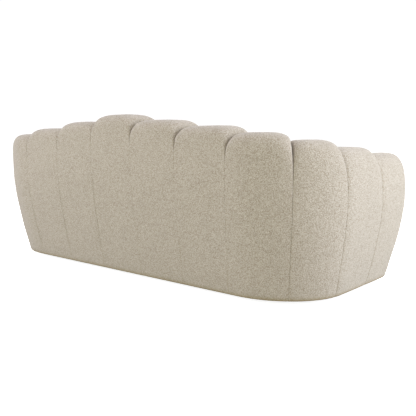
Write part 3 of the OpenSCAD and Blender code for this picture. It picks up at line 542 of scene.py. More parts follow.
def tube(line, radius, sides=8, closed=False):
    """Points and faces of a round cord along a line of points."""
    line = np.asarray(line, float)
    run = (np.roll(line, -1, 0) - np.roll(line, 1, 0)) if closed else np.gradient(line, axis=0)
    run /= np.linalg.norm(run, axis=1, keepdims=True)
    up = np.where(np.abs(run[:, 2:]) > 0.9, [[1.0, 0, 0]], [[0, 0, 1.0]])
    one = np.cross(run, up)
    one /= np.linalg.norm(one, axis=1, keepdims=True)
    two = np.cross(one, run)
    turn = np.linspace(0, 2 * math.pi, sides, endpoint=False)[None, :, None]
    rings = line[:, None] + radius * (np.cos(turn) * one[:, None] + np.sin(turn) * two[:, None])
    if not closed:
        return loft(rings)
    points, faces = rings.reshape(-1, 3), skin_faces(len(line) + 1, sides, True)
    return points, (faces % len(points)).tolist()


def joined(parts):
    """Several (points, faces) as one."""
    points, faces, made = [], [], 0
    for p, f in parts:
        points.append(p)
        faces += [[made + i for i in face] for face in f]
        made += len(p)
    return np.vstack(points), faces


def shaded(colour, k):
    """A colour made darker or lighter k times, up to white."""
    return tuple(min(1, k * c) for c in colour)


class Finish:
    """A material under construction: its nodes are added one by one and end at its shader.
    Scales of noise and cells are per metre, and depths are in metres."""

    def __init__(self, name, **fixed):
        self.material = bpy.data.materials.new(name)
        self.material.use_nodes = True
        self.tree = self.material.node_tree
        self.shader = self.tree.nodes["Principled BSDF"]
        self.set(self.shader, fixed)
        self.place = self.add("ShaderNodeTexCoord").outputs["Object"]

    def set(self, node, values):
        """Gives inputs of a node their values, or links them. A name's spaces may be underscores."""
        for key, value in values.items():
            socket = node.inputs[key.replace("_", " ") if isinstance(key, str) else key]
            if isinstance(value, bpy.types.NodeSocket):
                self.tree.links.new(value, socket)
            elif socket.type == "RGBA" and len(value) == 3:
                socket.default_value = (*value, 1)
            else:
                socket.default_value = value

    def add(self, kind, inputs=None, **settings):
        """A new node with values or links for its inputs, and settings of its own."""
        node = self.tree.nodes.new(kind)
        for key, value in settings.items():
            setattr(node, key, value)
        self.set(node, inputs or {})
        return node

    def noise(self, scale, detail=2.0, rough=0.5, place=None, **more):
        inputs = {"Vector": place or self.place, "Scale": scale, "Detail": detail,
                  "Roughness": rough, **more}
        return self.add("ShaderNodeTexNoise", inputs).outputs["Fac"]

    def cells(self, scale):
        inputs = {"Vector": self.place, "Scale": scale}
        return self.add("ShaderNodeTexVoronoi", inputs).outputs["Distance"]

    def wave(self, place, scale, distortion, detail=2.0, detail_scale=1.0, bands="X"):
        """Bands of light and dark along one axis, bent by noise."""
        inputs = {"Vector": place, "Scale": scale, "Distortion": distortion, "Detail": detail,
                  "Detail Scale": detail_scale}
        return self.add("ShaderNodeTexWave", inputs, bands_direction=bands).outputs["Fac"]

    def stretched(self, x, y, z):
        return self.add("ShaderNodeMapping", {"Vector": self.place, "Scale": (x, y, z)}).outputs[0]

    def span(self, value, low, high, to_low=0.0, to_high=1.0):
        """The value's way from low to high, as a value from to_low to to_high."""
        inputs = {"Value": value, 1: low, 2: high, 3: to_low, 4: to_high}
        return self.add("ShaderNodeMapRange", inputs).outputs[0]

    def blend(self, factor, one, two, way="MIX"):
        node = self.add("ShaderNodeMix", data_type="RGBA", blend_type=way)
        self.set(node, {0: factor, 6: one, 7: two})
        return node.outputs[2]

    def maths(self, way, one, two):
        return self.add("ShaderNodeMath", {0: one, 1: two}, operation=way).outputs[0]

    def number(self, name):
        """A number stored at the points of the piece."""
        return self.add("ShaderNodeAttribute", attribute_name=name).outputs["Fac"]

    def relief(self, height, depth, strength=1.0):
        bump = self.add("ShaderNodeBump", {"Height": height, "Distance": depth,
                                           "Strength": strength})
        self.tree.links.new(bump.outputs[0], self.shader.inputs["Normal"])

    def colour(self, value):
        self.set(self.shader, {"Base Color": value})
        return self.material


def boucle(colours):
    """Oatmeal looped yarn: raised nubs over a darker ground, mottled, and darkened by painted shade
    in the seams, beside the welts and along the bottom edge, as much as each point stores.
    """
    f = Finish("oatmeal_boucle", Roughness=0.95, Sheen_Weight=0.2, Sheen_Roughness=0.5,
               Specular_IOR_Level=0.2)
    nubs = f.cells(240)
    curls = f.noise(135, 1.5, 0.5, Distortion=2.2)
    patches = f.noise(9, 2, 0.5)
    ground = f.blend(f.span(nubs, 0.15, 0.75), colours.yarn, colours.yarn_dark)
    loops = f.blend(f.span(curls, 0.5, 0.68, 0, 0.42), ground, colours.yarn_light)
    loops = f.blend(f.span(curls, 0.48, 0.32, 0, 0.34), loops, colours.yarn_dark)
    mottled = f.blend(0.06, loops, f.blend(f.span(patches, 0.35, 0.65), colours.yarn_dark,
                                          colours.yarn_light), "SOFT_LIGHT")
    # Painted shade: the yarn's colour drawn towards the shade colour as far as each point's stored
    # value says
    with_painted_shade = f.blend(f.number("crease"), mottled, colours.crease)
    height = f.maths("SUBTRACT", f.maths("MULTIPLY", curls, 0.8), nubs)
    f.relief(height, 0.0025, 0.5)
    return f.colour(with_painted_shade)


def woven(name, colour, pitch, depth=0.0006):
    """Plain woven cloth: crossing threads of one pitch, with uneven yarn."""
    f = Finish(name, Roughness=0.9, Sheen_Weight=0.1, Specular_IOR_Level=0.25)
    crossing = "DIAGONAL" if name == "zip_tape" else "Y"
    scale = 1 / pitch / THREAD_PAIR
    warp, weft = (f.wave(f.place, scale, 0.6, 2, 4, way) for way in ("X", crossing))
    threads = f.maths("MAXIMUM", warp, weft)
    uneven = f.blend(f.noise(60, 3), colour, shaded(colour, 1.12))
    base = f.blend(threads, shaded(colour, 0.62), uneven)
    f.relief(threads, depth)
    return f.colour(base)


def sawn_wood(name, colour, along, knots=0.5, roughness=0.6, coat=0.0):
    """Wood with its grain along one axis, faint knots and pores."""
    f = Finish(name, Roughness=roughness, Coat_Weight=coat, Specular_IOR_Level=0.4)
    across_grain, along_grain = 14.0, 0.9
    thin = [along_grain if axis == along else across_grain for axis in "xyz"]
    place = f.stretched(*thin)
    rings = f.wave(place, 1.3, 5 * knots + 2, 3, 0.8, "DIAGONAL")
    pores = f.noise(9, 5, 0.7, f.stretched(*[t * 3 for t in thin]))
    figure = f.maths("MULTIPLY", rings, f.span(pores, 0.3, 0.7, 0.6, 1))
    base = f.blend(figure, shaded(colour, 1.15), shaded(colour, 0.62))
    f.relief(pores, 0.0004, 0.5)
    return f.colour(base)


def plywood(colours):
    """Plywood: a pale rotary face on the flat sides and stacked plies on the edges."""
    f = Finish("plywood", Roughness=0.62, Specular_IOR_Level=0.35)
    figure = f.wave(f.stretched(2.2, 7, 7), 0.8, 9, 4, 0.6, "Z")
    plies = f.wave(f.place, 62, 0.2, bands="DIAGONAL")
    face = f.blend(figure, colours.ply, shaded(colours.ply, 0.66))
    edge = f.blend(plies, shaded(colours.ply, 0.45), colours.ply)
    base = f.blend(f.span(f.noise(40, 2), 0.62, 0.66), face, edge)
    f.relief(f.noise(300, 3), 0.0002)
    return f.colour(base)


def foam_finish():
    """Cream foam with small dark pits."""
    f = Finish("cream_foam", Roughness=1.0, Subsurface_Weight=0.0, Specular_IOR_Level=0.1)
    pits = f.cells(900)
    f.relief(pits, 0.0008)
    return f.colour(f.blend(f.span(pits, 0.1, 0.6), (0.55, 0.48, 0.28), (0.83, 0.76, 0.52)))


def felt_finish():
    """Grey felt of matted fibres."""
    f = Finish("grey_felt", Roughness=1.0, Sheen_Weight=0.4, Specular_IOR_Level=0.1)
    fibres = f.noise(420, 6, 0.8, f.stretched(1, 1, 4))
    f.relief(fibres, 0.0008)
    return f.colour(f.blend(fibres, (0.12, 0.11, 0.10), (0.34, 0.32, 0.29)))


def metal_finish(name, colour, roughness):
    """Bare metal with fine drawing marks and dull spots."""
    f = Finish(name, Metallic=1.0)
    marks = f.noise(220, 4, 0.6, f.stretched(0.3, 3, 3))
    spots = f.noise(35, 3)
    f.set(f.shader, {"Roughness": f.span(spots, 0.3, 0.7, roughness, min(1, roughness + 0.18))})
    f.relief(marks, 0.0001)
    return f.colour(f.blend(spots, colour, shaded(colour, 0.72)))


def dust_cloth_finish():
    """Black spun cloth: a pressed dot pattern in tangled fibres."""
    f = Finish("black_dust_cloth", Roughness=0.95, Sheen_Weight=0.15, Specular_IOR_Level=0.2)
    fibres = f.noise(500, 5, 0.8)
    dots = f.cells(420)
    f.relief(f.maths("MULTIPLY", fibres, f.span(dots, 0.1, 0.4)), 0.0003)
    return f.colour(f.blend(fibres, (0.008, 0.008, 0.008), (0.05, 0.05, 0.048)))


MAKERS = {
    "upholstery": boucle,
    "deck_cloth": lambda c: woven("deck_cloth", tuple(c.deck), 0.0021),
    "foam": lambda c: foam_finish(),
    "felt": lambda c: felt_finish(),
    "zip_tape": lambda c: woven("zip_tape", (0.22, 0.19, 0.145), 0.0011, depth=0.0003),
    "zip_metal": lambda c: metal_finish("nickel", (0.58, 0.56, 0.52), 0.28),
    "steel": lambda c: metal_finish("drawn_steel", (0.34, 0.34, 0.34), 0.38),
    "timber": lambda c: sawn_wood("sawn_timber", tuple(c.pine), "x"),
    "upright_timber": lambda c: sawn_wood("upright_timber", tuple(c.pine), "z"),
    "deep_timber": lambda c: sawn_wood("deep_timber", tuple(c.pine), "y"),
    "plywood": plywood,
    "webbing": lambda c: woven("webbing", (0.035, 0.033, 0.03), 0.0032, depth=0.001),
    "dust_cloth": lambda c: dust_cloth_finish(),
    "stained_wood": lambda c: sawn_wood("stained_wood", tuple(c.stain), "z", 0.2, 0.35, 0.3),
}
MADE = {}


def finish(name):
    """The finish of that name, made when it is first asked for."""
    if name not in MADE:
        MADE[name] = MAKERS[name](bpy.context.scene.sofa_colours)
    return MADE[name]


def dress(nodes, name, bevel=0.0):
    """Gives solids of the frame their finish, softened edges and smooth rounds."""
    for node in nodes:
        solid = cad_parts[node]
        solid.data.materials.clear()
        solid.data.materials.append(finish(name))
        solid.data.shade_smooth()
        solid.data.set_sharp_from_angle(angle=math.radians(35))
        if bevel:
            soft = solid.modifiers.new("softened_edges", "BEVEL")
            soft.width, soft.segments, soft.limit_method = bevel, 2, "ANGLE"
            soft.angle_limit, soft.harden_normals = math.radians(40), True


def channel_places():
    """Node name, channel number and side of every channel."""
    yield "channel_middle", 0, 1
    for side, sign in (("left", -1), ("right", 1)):
        for i in (1, 2, 3):
            yield f"channel_back_{side}_{i}", i, sign
        for i, name in ((4, "corner"), (5, "arm"), (NOSE, "nose")):
            yield f"channel_{name}_{side}", i, sign


class SOFA_OT_channels(bpy.types.Operator):
    """Builds the thirteen padded channels round the back and the arms"""

    bl_idname = "sofa.channels"
    bl_label = "Channels"

    def execute(self, context):
        sizes = context.scene.sofa_padding
        wall = Wall(sizes)
        for node, i, side in channel_places():
            rings, seam_far, slots = wall.nose() if i == NOSE else wall.channel(i)
            soft = crumpled(rings, seam_far, sizes, 3.1 * i + 20 * side)
            points, faces = padding_mesh(soft, slots, i == NOSE)
            if side < 0:
                points[:, 0] *= -1
                faces = [f[::-1] for f in faces]
            piece = new_piece(f"padded_{node}", points, faces, finish("upholstery"))
            # Painted shade along the bottom edge and next to the seams; each point keeps the darker of
            # the two
            shade = edge_shade(points, EDGE_SHADE, EDGE_REACH)
            skin = self.seam_shade(rings, i).ravel()
            shade[:len(skin)] = np.maximum(shade[:len(skin)], skin)
            give_values(piece, "crease", shade)
            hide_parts(node)
        return {"FINISHED"}

    def seam_shade(self, rings, i):
        """How dark the painted shade makes the skin of channel i next to its seams."""
        rows = np.arange(rings.shape[1])
        lens = np.exp(-((rows - LENS_ROW) / LENS_RUN) ** 4) * (BACK_LENS if i < 3 else OTHER_LENS)
        below = SHADE_GROWTH * smooth_step((rows - SHADE_ROW) / SHADE_ROWS) * (rows < LENS_ROW)
        depth = np.where(rows < OUT_ROWS, np.maximum(lens, below + LEAST_SHADE), INNER_SHADE)
        reach = lerp(SHADE_REACH, LENS_REACH, lens)
        return depth * np.exp(-(self.from_seam(rings, i == NOSE) / reach) ** SHADE_POWER)

    def from_seam(self, rings, tip):
        """Distance of each point from its row's point on the nearer seam."""
        far = np.linalg.norm(rings - rings[:1], axis=2)
        return far if tip else np.minimum(far, np.linalg.norm(rings - rings[-1:], axis=2))


def apron_ring(x, f):
    """One closed ring of the apron, from the bottom of the rail up its front and over its top."""
    low_y = APRON_FACE - lerp(APRON_LOW_T - APRON_BULGE, APRON_LOW_T, f)
    high_y = APRON_FACE - lerp(APRON_T - APRON_BULGE, APRON_T, f)
    bend_z = APRON_TOP - APRON_R
    a, u = np.linspace(0, QUARTER, 14), np.linspace(0, 1, 42)[1:-1]
    pad_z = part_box("deck_pad")[0].z
    line = np.vstack([
        [[APRON_FACE, FOOT_H]],
        np.column_stack([low_y + TUCK * (1 - np.sin(a)), FOOT_H + TUCK * (1 - np.cos(a))]),
        np.column_stack([lerp(low_y, high_y, u ** (1 / TAPER_POWER)),
                         lerp(FOOT_H + TUCK, bend_z, u)]),
        np.column_stack([high_y + APRON_R * (1 - np.cos(a)), bend_z + APRON_R * np.sin(a)]),
        [[APRON_BACK, APRON_TOP], [APRON_BACK, pad_z], [APRON_FACE, pad_z]]])
    return np.column_stack([np.full(len(line), x), line])


class SOFA_OT_apron(bpy.types.Operator):
    """Builds the padded apron across the front, hooked over the front rail"""

    bl_idname = "sofa.apron"
    bl_label = "Front apron"

    def execute(self, context):
        sizes = context.scene.sofa_padding
        w = np.sin(np.linspace(QUARTER, -QUARTER, 141))
        swells = swell(w, sizes.seam_power)
        rings = np.array([apron_ring(v * APRON_X, f) for v, f in zip(w, swells)])
        soft = crumpled(rings[::-1], (1 - np.abs(w)) * APRON_X, sizes, 61.0)[::-1]
        points, faces = loft(soft)
        piece = new_piece("padded_front_apron", points, faces, finish("upholstery"))
        # Painted shade along the apron's bottom edge
        give_values(piece, "crease", edge_shade(points, APRON_SHADE, APRON_REACH))
        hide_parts("front_apron")
        return {"FINISHED"}


def cushion_ring(d, z):
    """Plan outline of the cushion at height z, drawn in by d all round."""
    hx, back, front = CUSHION_X - d, CUSHION_BACK - d, CUSHION_FRONT + d
    rb, rf = max(INNER_R - d, INNER_R / 4), max(FRONT_R - d, FRONT_R / 4)
    b, t = np.linspace(0, QUARTER, 16), np.linspace(0, 1, 42)[1:-1]

    def corner(x, y, r, a):
        return np.column_stack([x + r * np.cos(b + a), y + r * np.sin(b + a)])

    plan = np.vstack([
        corner(hx - rb, back - rb, rb, 0),
        np.column_stack([(1 - 2 * t) * (hx - rb), np.full_like(t, back)]),
        corner(rb - hx, back - rb, rb, QUARTER),
        corner(rf - hx, front + rf, rf, 2 * QUARTER),
        np.column_stack([(2 * t - 1) * (hx - rf), front + SIDE_DRAW * 4 * t * (1 - t)]),
        corner(hx - rf, front + rf, rf, 3 * QUARTER)])
    return np.column_stack([plan, np.full(len(plan), z)])


def cushion_form(d):
    """Rings of the cushion's form, drawn in by d: flat below, rounded edges, crowned above."""
    low, high, r = CUSHION_LOW + d, CUSHION_LOW + CUSHION_H - d, EDGE_R - d / 2
    half, b = (CUSHION_BACK - CUSHION_FRONT) / 2, np.linspace(0, QUARTER, 9)
    edge_in = BORDER_BULGE / 2 + (r + BORDER_BULGE / 2) * (1 - np.sin(b))
    edge_up = r * (1 - np.cos(b))
    rise = np.linspace(0, 1, 14)[1:-1]
    c = lerp(r, half, np.linspace(0, 0.78, 12)[1:] ** 1.3)
    ins = np.concatenate([edge_in, BORDER_BULGE / 2 * (1 - np.sin(math.pi * rise)),
                          edge_in[::-1], BORDER_BULGE + c])
    up = np.concatenate([low + edge_up, lerp(low + r, high - r, rise), high - edge_up[::-1],
                         high + CUSHION_CROWN * np.sin(QUARTER * (c - r) / (half - r))])
    return np.array([cushion_ring(d + i, z) for i, z in zip(ins, up)])


def welt_line(upper):
    """The line of the welt round the upper or lower edge of the cushion."""
    drop = EDGE_R * (1 - math.cos(QUARTER / 2))
    z = CUSHION_LOW + CUSHION_H - drop if upper else CUSHION_LOW + drop
    inside = BORDER_BULGE / 2 + (EDGE_R + BORDER_BULGE / 2) * (1 - math.sin(QUARTER / 2))
    line = cushion_ring(inside - 0.0015, z)
    return spread_evenly(np.vstack([line, line[:1]]), 561)[:-1]


def remeshed(name, points, faces, size):
    """A closed form as an even mesh of square cells."""
    rough = bpy.data.meshes.new(name)
    rough.from_pydata(points.tolist(), [], faces)
    piece = bpy.data.objects.new(name, rough)
    bpy.context.scene.collection.objects.link(piece)
    even = piece.modifiers.new("even_cells", "REMESH")
    even.mode, even.voxel_size = "VOXEL", size
    even.use_smooth_shade = True
    baked = bpy.data.meshes.new_from_object(
        piece.evaluated_get(bpy.context.evaluated_depsgraph_get()))
    piece.modifiers.clear()
    piece.data = baked
    return piece


def cover_folds(at, out, near):
    """How far the cover's points move out by its lumps, which are on top, and by the folds beside
    its welts. out holds the points' normals, and near their distances from the welts."""
    top = smooth_step((out[:, 2] - 0.2) / 0.5)
    sides = 0.5 * (at[:, 1] < CUSHION_BACK - 0.03) * (out[:, 2] > -0.3)
    folds = noise_at(at * COVER_FOLDS, 1.0, 4.0) * np.exp(-near / COVER_FOLD_RUN)
    folds *= smooth_step(near / COVER_FOLD_START)
    lumps = top * COVER_LUMP_H * noise_at(at, COVER_LUMPS, 9.0)
    return lumps + COVER_FOLD_H * folds * (top + sides)


def inflate(piece, held, pressure, steps, cap):
    """Blows a cover up under pressure with its seams held; no point moves further than its cap."""
    scene = bpy.context.scene
    rest = np.array([v.co for v in piece.data.vertices])
    group = piece.vertex_groups.new(name="held_seams")
    group.add(np.flatnonzero(held).tolist(), 1.0, "REPLACE")
    cloth = piece.modifiers.new("filling", "CLOTH")
    fabric = cloth.settings
    fabric.use_pressure, fabric.uniform_pressure_force = True, pressure
    fabric.vertex_group_mass, fabric.pin_stiffness = "held_seams", 5
    fabric.quality, fabric.mass = 6, 0.3
    fabric.tension_stiffness = fabric.compression_stiffness = fabric.shear_stiffness = 12
    fabric.bending_stiffness = 0.6
    fabric.effector_weights.gravity = 0
    cloth.collision_settings.use_collision = False
    cloth.collision_settings.use_self_collision = False
    cloth.point_cache.frame_start, cloth.point_cache.frame_end = 1, steps
    for step in range(1, steps + 1):
        scene.frame_set(step)
    view = piece.evaluated_get(bpy.context.evaluated_depsgraph_get())
    full = np.array([v.co for v in view.data.vertices])
    piece.modifiers.clear()
    piece.vertex_groups.clear()
    scene.frame_set(1)
    move = full - rest
    far = np.linalg.norm(move, axis=1)
    move *= np.minimum(1, cap / np.maximum(far, 1e-9))[:, None]
    piece.data.vertices.foreach_set("co", (rest + move).ravel())
    piece.data.update()
    return rest + move


class SOFA_OT_cushion(bpy.types.Operator):
    """Builds the loose bench cushion: its inflated cover, its welts and its foam"""

    bl_idname = "sofa.cushion"
    bl_label = "Bench cushion"

    def execute(self, context):
        sizes = context.scene.sofa_cushion
        welts = [welt_line(True), welt_line(False)]
        self.cover(sizes, welts)
        for name, line in zip(("upper_welt", "lower_welt"), welts):
            welt = new_piece(f"seat_cushion_{name}", *tube(line, sizes.welt_r, 12, True),
                             finish("upholstery"), "seat_cushion")
            give_values(welt, "crease", np.zeros(len(welt.data.vertices)))
        points, faces = loft(cushion_form(WRAP_T + FOAM_GAP))
        foam = new_piece("seat_cushion_foam", points, [f[::-1] for f in faces], finish("foam"),
                         "seat_cushion")
        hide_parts("cushion_core")
        return {"FINISHED"}

    def cover(self, sizes, welts):
        """The sewn cover, blown up between its welts, then given its lumps and folds."""
        points, faces = loft(cushion_form(FORM_IN))
        faces = [f[::-1] for f in faces]
        cover = remeshed("seat_cushion_cover", points, faces, sizes.voxel)
        at = np.array([v.co for v in cover.data.vertices])
        edges = [BVHTree.FromPolygons(*tube(line, 0.0005, 4, True)) for line in welts]
        near = np.array([min(edge.find_nearest(p)[3] for edge in edges) for p in at])
        out = np.array([v.normal for v in cover.data.vertices])
        upward = smooth_step((out[:, 2] - 0.3) / 0.6)
        cap = lerp(sizes.border_cap, sizes.crown_cap, upward)
        cap[(at[:, 1] > CUSHION_BACK - 0.02) & (out[:, 2] < 0.3)] = ZIP_BORDER_CAP
        at = inflate(cover, near < sizes.voxel, sizes.pressure, sizes.steps, cap)
        at[:, 2] = np.maximum(at[:, 2], CUSHION_LOW)
        out = np.array([v.normal for v in cover.data.vertices])
        at += out * cover_folds(at, out, near)[:, None]
        cover.data.vertices.foreach_set("co", at.ravel())
        cover.data.shade_smooth()
        cover.data.materials.append(finish("upholstery"))
        # Painted shade beside the welts
        give_values(cover, "crease", WELT_SHADE * np.exp(-(near / WELT_REACH) ** 2))
        smooth = cover.modifiers.new("finer_cloth", "SUBSURF")
        smooth.levels = smooth.render_levels = 1
        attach(cover, "seat_cushion")
        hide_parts("cushion_cover")


def slab(xs, front, back, rows, top, thickness):
    """A thin closed form over a plan between its front and back lines. top gives its heights."""
    v = np.linspace(0, 1, rows)
    plan = np.array([[(x, lerp(f, b, t)) for t in v] for x, f, b in zip(xs, front, back)])
    n, m = plan.shape[:2]
    flat = plan.reshape(-1, 2)
    high = top(flat)
    upper = np.column_stack([flat, high])
    lower = np.column_stack([flat, high - thickness])
    faces = skin_faces(n, m)
    # The rim's points in order, and the faces that join the two sides along it
    rim = np.concatenate([np.arange(m), np.arange(2 * m - 1, n * m, m),
                          np.arange(n * m - 2, (n - 1) * m - 1, -1),
                          np.arange((n - 2) * m, 0, -m)])
    on = np.roll(rim, -1)
    side = np.stack([rim, on, on + n * m, rim + n * m], -1)
    return (np.vstack([upper, lower]),
            np.vstack([faces[:, ::-1], faces + n * m, side]).tolist())


def deck_plan():
    """Columns of the deck: places across it, and its front and its rounded back line."""
    corner = RIM_X - INNER_R
    xs = np.unique(np.r_[np.linspace(-corner, corner, 150),
                         *(s * (corner + INNER_R * np.sin(np.linspace(0, QUARTER, 18)))
                           for s in (-1, 1))])
    past = np.maximum(np.abs(xs) - corner, 0)
    back = RIM_Y - INNER_R + np.sqrt(np.maximum(INNER_R ** 2 - past ** 2, 0))
    return xs, np.full_like(xs, APRON_BACK + DECK_GAP), back


def deck_sag(plan):
    """How far the deck cloth lies below its edge, over the springs."""
    x, y = plan[:, 0], plan[:, 1]
    inside = smooth_step((RIM_X - np.abs(x)) / DECK_EDGE)
    inside *= smooth_step((y - APRON_BACK) / DECK_EDGE) * smooth_step((RIM_Y - y) / DECK_EDGE)
    wavy = noise_at(np.column_stack([plan, np.zeros(len(x))]), 9.0, 2.0)
    ripple = np.cos(2 * math.pi * x / SPRING_PITCH)
    return inside * (DECK_FALL + DECK_RIPPLE * ripple + DECK_WAVE * wavy)


class SOFA_OT_deck(bpy.types.Operator):
    """Builds the deck under the cushion: its cloth and stitching, its pad and its insulator"""

    bl_idname = "sofa.deck"
    bl_label = "Seat deck"

    def execute(self, context):
        xs, front, back = deck_plan()
        pad_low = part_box("deck_pad")[0].z
        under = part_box("spring_insulator")[0].z
        cloth_t, felt_t, pad_t = 0.001, 0.0015, 0.01
        pad_top = DECK_Z - cloth_t - DECK_GAP
        layers = (("deck_cloth_sheet", "deck_cloth", "deck_cloth", DECK_Z, cloth_t, 60),
                  ("deck_padding", "deck_pad", "foam", pad_top, pad_t, 40),
                  ("spring_insulator_sheet", "spring_insulator", "felt", under + felt_t, felt_t, 12))
        for name, node, slot, high, thickness, rows in layers:
            laid = node == "spring_insulator"

            def top(plan, high=high, laid=laid):
                return np.full(len(plan), high) if laid else high - deck_sag(plan)

            points, faces = slab(xs, front, back, rows, top, thickness)
            if node == "deck_pad":
                points[len(points) // 2:, 2] = pad_low
            piece = new_piece(name, points, faces, finish(slot))
            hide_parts(node)
        self.stitches(xs, front, back)
        return {"FINISHED"}

    def stitches(self, xs, front, back):
        """A row of thread stitches round the deck cloth, just inside its edge."""
        line = np.vstack([np.column_stack([xs, front + STITCH_IN]),
                          np.column_stack([xs, back - STITCH_IN])[::-1]])
        line[:, 0] *= 1 - STITCH_IN / RIM_X
        line = np.vstack([line, line[:1]])
        line = np.column_stack([line, np.zeros(len(line))])
        count = int(np.linalg.norm(np.diff(line, axis=0), axis=1).sum() / STITCH_PITCH)
        ends = spread_evenly(line, count)
        dip = np.array([-0.0003, 0.0001, 0.0001, -0.0003])
        threads = []
        for a, b in zip(ends[:-1], ends[1:]):
            thread = np.array([lerp(a, b, t) for t in (0.1, 0.3, 0.7, 0.9)])
            thread[:, 2] = DECK_Z - deck_sag(thread[:, :2]) + dip
            threads.append(tube(thread, THREAD_R, 6))
        piece = new_piece("deck_cloth_stitches", *joined(threads), finish("deck_cloth"))


def plate(outline, low, high, hole=None):
    """A flat plate from an outline of (x, z) points between two heights along y, with one hole."""
    inner = outline.mean(0) + 0 * outline if hole is None else hole
    n = len(outline)
    points = np.vstack([[(x, y, z) for x, z in loop] for y in (low, high)
                        for loop in (outline, inner)])
    i = np.arange(n)
    j = (i + 1) % n
    faces = [np.stack([i, j, j + n, i + n], -1),
             np.stack([i + 2 * n, i + 3 * n, j + 3 * n, j + 2 * n], -1),
             np.stack([i, i + 2 * n, j + 2 * n, j], -1)]
    if hole is not None:
        faces.append(np.stack([i + n, j + n, j + 3 * n, i + 3 * n], -1))
    return points, np.vstack(faces).tolist()


def rounded(w, h, r, count=32, cx=0.0, cz=0.0):
    """Points round a rounded rectangle, evenly spread by angle."""
    a = np.linspace(0, 2 * math.pi, count, endpoint=False) + math.pi / count
    x = np.sign(np.cos(a)) * (w / 2 - r) + r * np.cos(a)
    z = np.sign(np.sin(a)) * (h / 2 - r) + r * np.sin(a)
    return np.column_stack([cx + x, cz + z])


class SOFA_OT_zip(bpy.types.Operator):
    """Builds the cushion's zip: its tape, its two rows of teeth and its slider"""

    bl_idname = "sofa.zip"
    bl_label = "Cushion zip"

    def execute(self, context):
        low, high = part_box("cushion_zip")
        tape_y, teeth_y, middle = low.y + TAPE_UP, high.y, (low.z + high.z) / 2
        xs = np.linspace(low.x, high.x, 400)
        points, faces = slab(xs, np.full_like(xs, low.z), np.full_like(xs, high.z), 12,
                             lambda p: np.full(len(p), tape_y), TAPE_T)
        points = points[:, [0, 2, 1]]
        tape = new_piece("cushion_zip_tape", points, [f[::-1] for f in faces],
                         finish("zip_tape"), "seat_cushion")
        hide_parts("cushion_zip")
        pitch = context.scene.sofa_cushion.tooth_pitch
        teeth = []
        places = np.arange(low.x + TEETH_FREE, high.x - TEETH_FREE, pitch / 2)
        for k, x in enumerate(places):
            side = 1 if k % 2 else -1
            tooth = rounded(pitch * 0.42, 0.0038, 0.0005, 8, x, middle + side * 0.0010)
            teeth.append(plate(tooth, tape_y, teeth_y))
        for x in (low.x + TEETH_FREE / 2, high.x - TEETH_FREE / 2):
            stop = rounded(0.0025, 0.006, 0.0008, 12, x, middle)
            teeth.append(plate(stop, tape_y, teeth_y))
        row = new_piece("cushion_zip_teeth", *joined(teeth), finish("zip_metal"), "seat_cushion",
                        30)
        self.slider()
        return {"FINISHED"}

    def slider(self):
        """The slider: its shield over two flanges, and a tab that hangs from its bridge."""
        low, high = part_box("zip_slider")
        base, bridge_y = low.y, low.y + BRIDGE_UP
        x, z = high.x - 0.008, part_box("cushion_zip")[0].z + 0.014
        shield = np.array(SHIELD) * 0.001 + (x, z)
        parts = [plate(shield, base + 0.0018, bridge_y)]
        for side in (-1, 1):
            flange_z = z + side * (SLIDER_HALF - 0.00095)
            flange = rounded(0.0125, 0.0017, 0.0006, 16, x + 0.0005, flange_z)
            parts.append(plate(flange, base, base + 0.002))
        turn = np.linspace(0, math.pi, 13)
        bridge = np.column_stack([x - 0.0035 * np.cos(turn), bridge_y + 0.0021 * np.sin(turn),
                                  np.full(len(turn), z)])
        parts.append(tube(bridge, 0.0006))
        tab = rounded(0.0052, 0.0335, 0.0024, 32, x, z - 0.0146)
        hole = rounded(0.0028, 0.0052, 0.0013, 32, x, z - 0.0006)
        parts.append(plate(tab, base + 0.0037, base + 0.0047, hole))
        piece = new_piece("cushion_zip_slider", *joined(parts), finish("zip_metal"),
                          "zip_slider", 30)
        edge = piece.modifiers.new("softened_edges", "BEVEL")
        edge.width, edge.segments, edge.limit_method = 0.00025, 2, "ANGLE"
        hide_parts("zip_slider")


class SOFA_OT_seat_springs(bpy.types.Operator):
    """Finishes the springs, their clips, the tie wires and the screws"""

    bl_idname = "sofa.seat_springs"
    bl_label = "Springs and fixings"

    def execute(self, context):
        dress(("sinuous_springs", "spring_clips", "tie_wires", "frame_screws", "foot_screws"),
              "steel")
        return {"FINISHED"}


class SOFA_OT_timber_frame(bpy.types.Operator):
    """Finishes the timber, the boards and the webbing inside the wall and the seat"""

    bl_idname = "sofa.timber_frame"
    bl_label = "Timber frame"

    def execute(self, context):
        nodes = list(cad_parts)
        dress([n for n in nodes if "post" in n], "upright_timber", 0.0012)
        dress(["stretchers", "side_rail_left", "side_rail_right"], "deep_timber", 0.0012)
        dress([n for n in nodes if n.endswith("_rail") or "_rails" in n], "timber", 0.0012)
        dress([n for n in nodes if "plank" in n or "board" in n], "plywood", 0.0006)
        dress([n for n in nodes if "webbing" in n], "webbing")
        return {"FINISHED"}


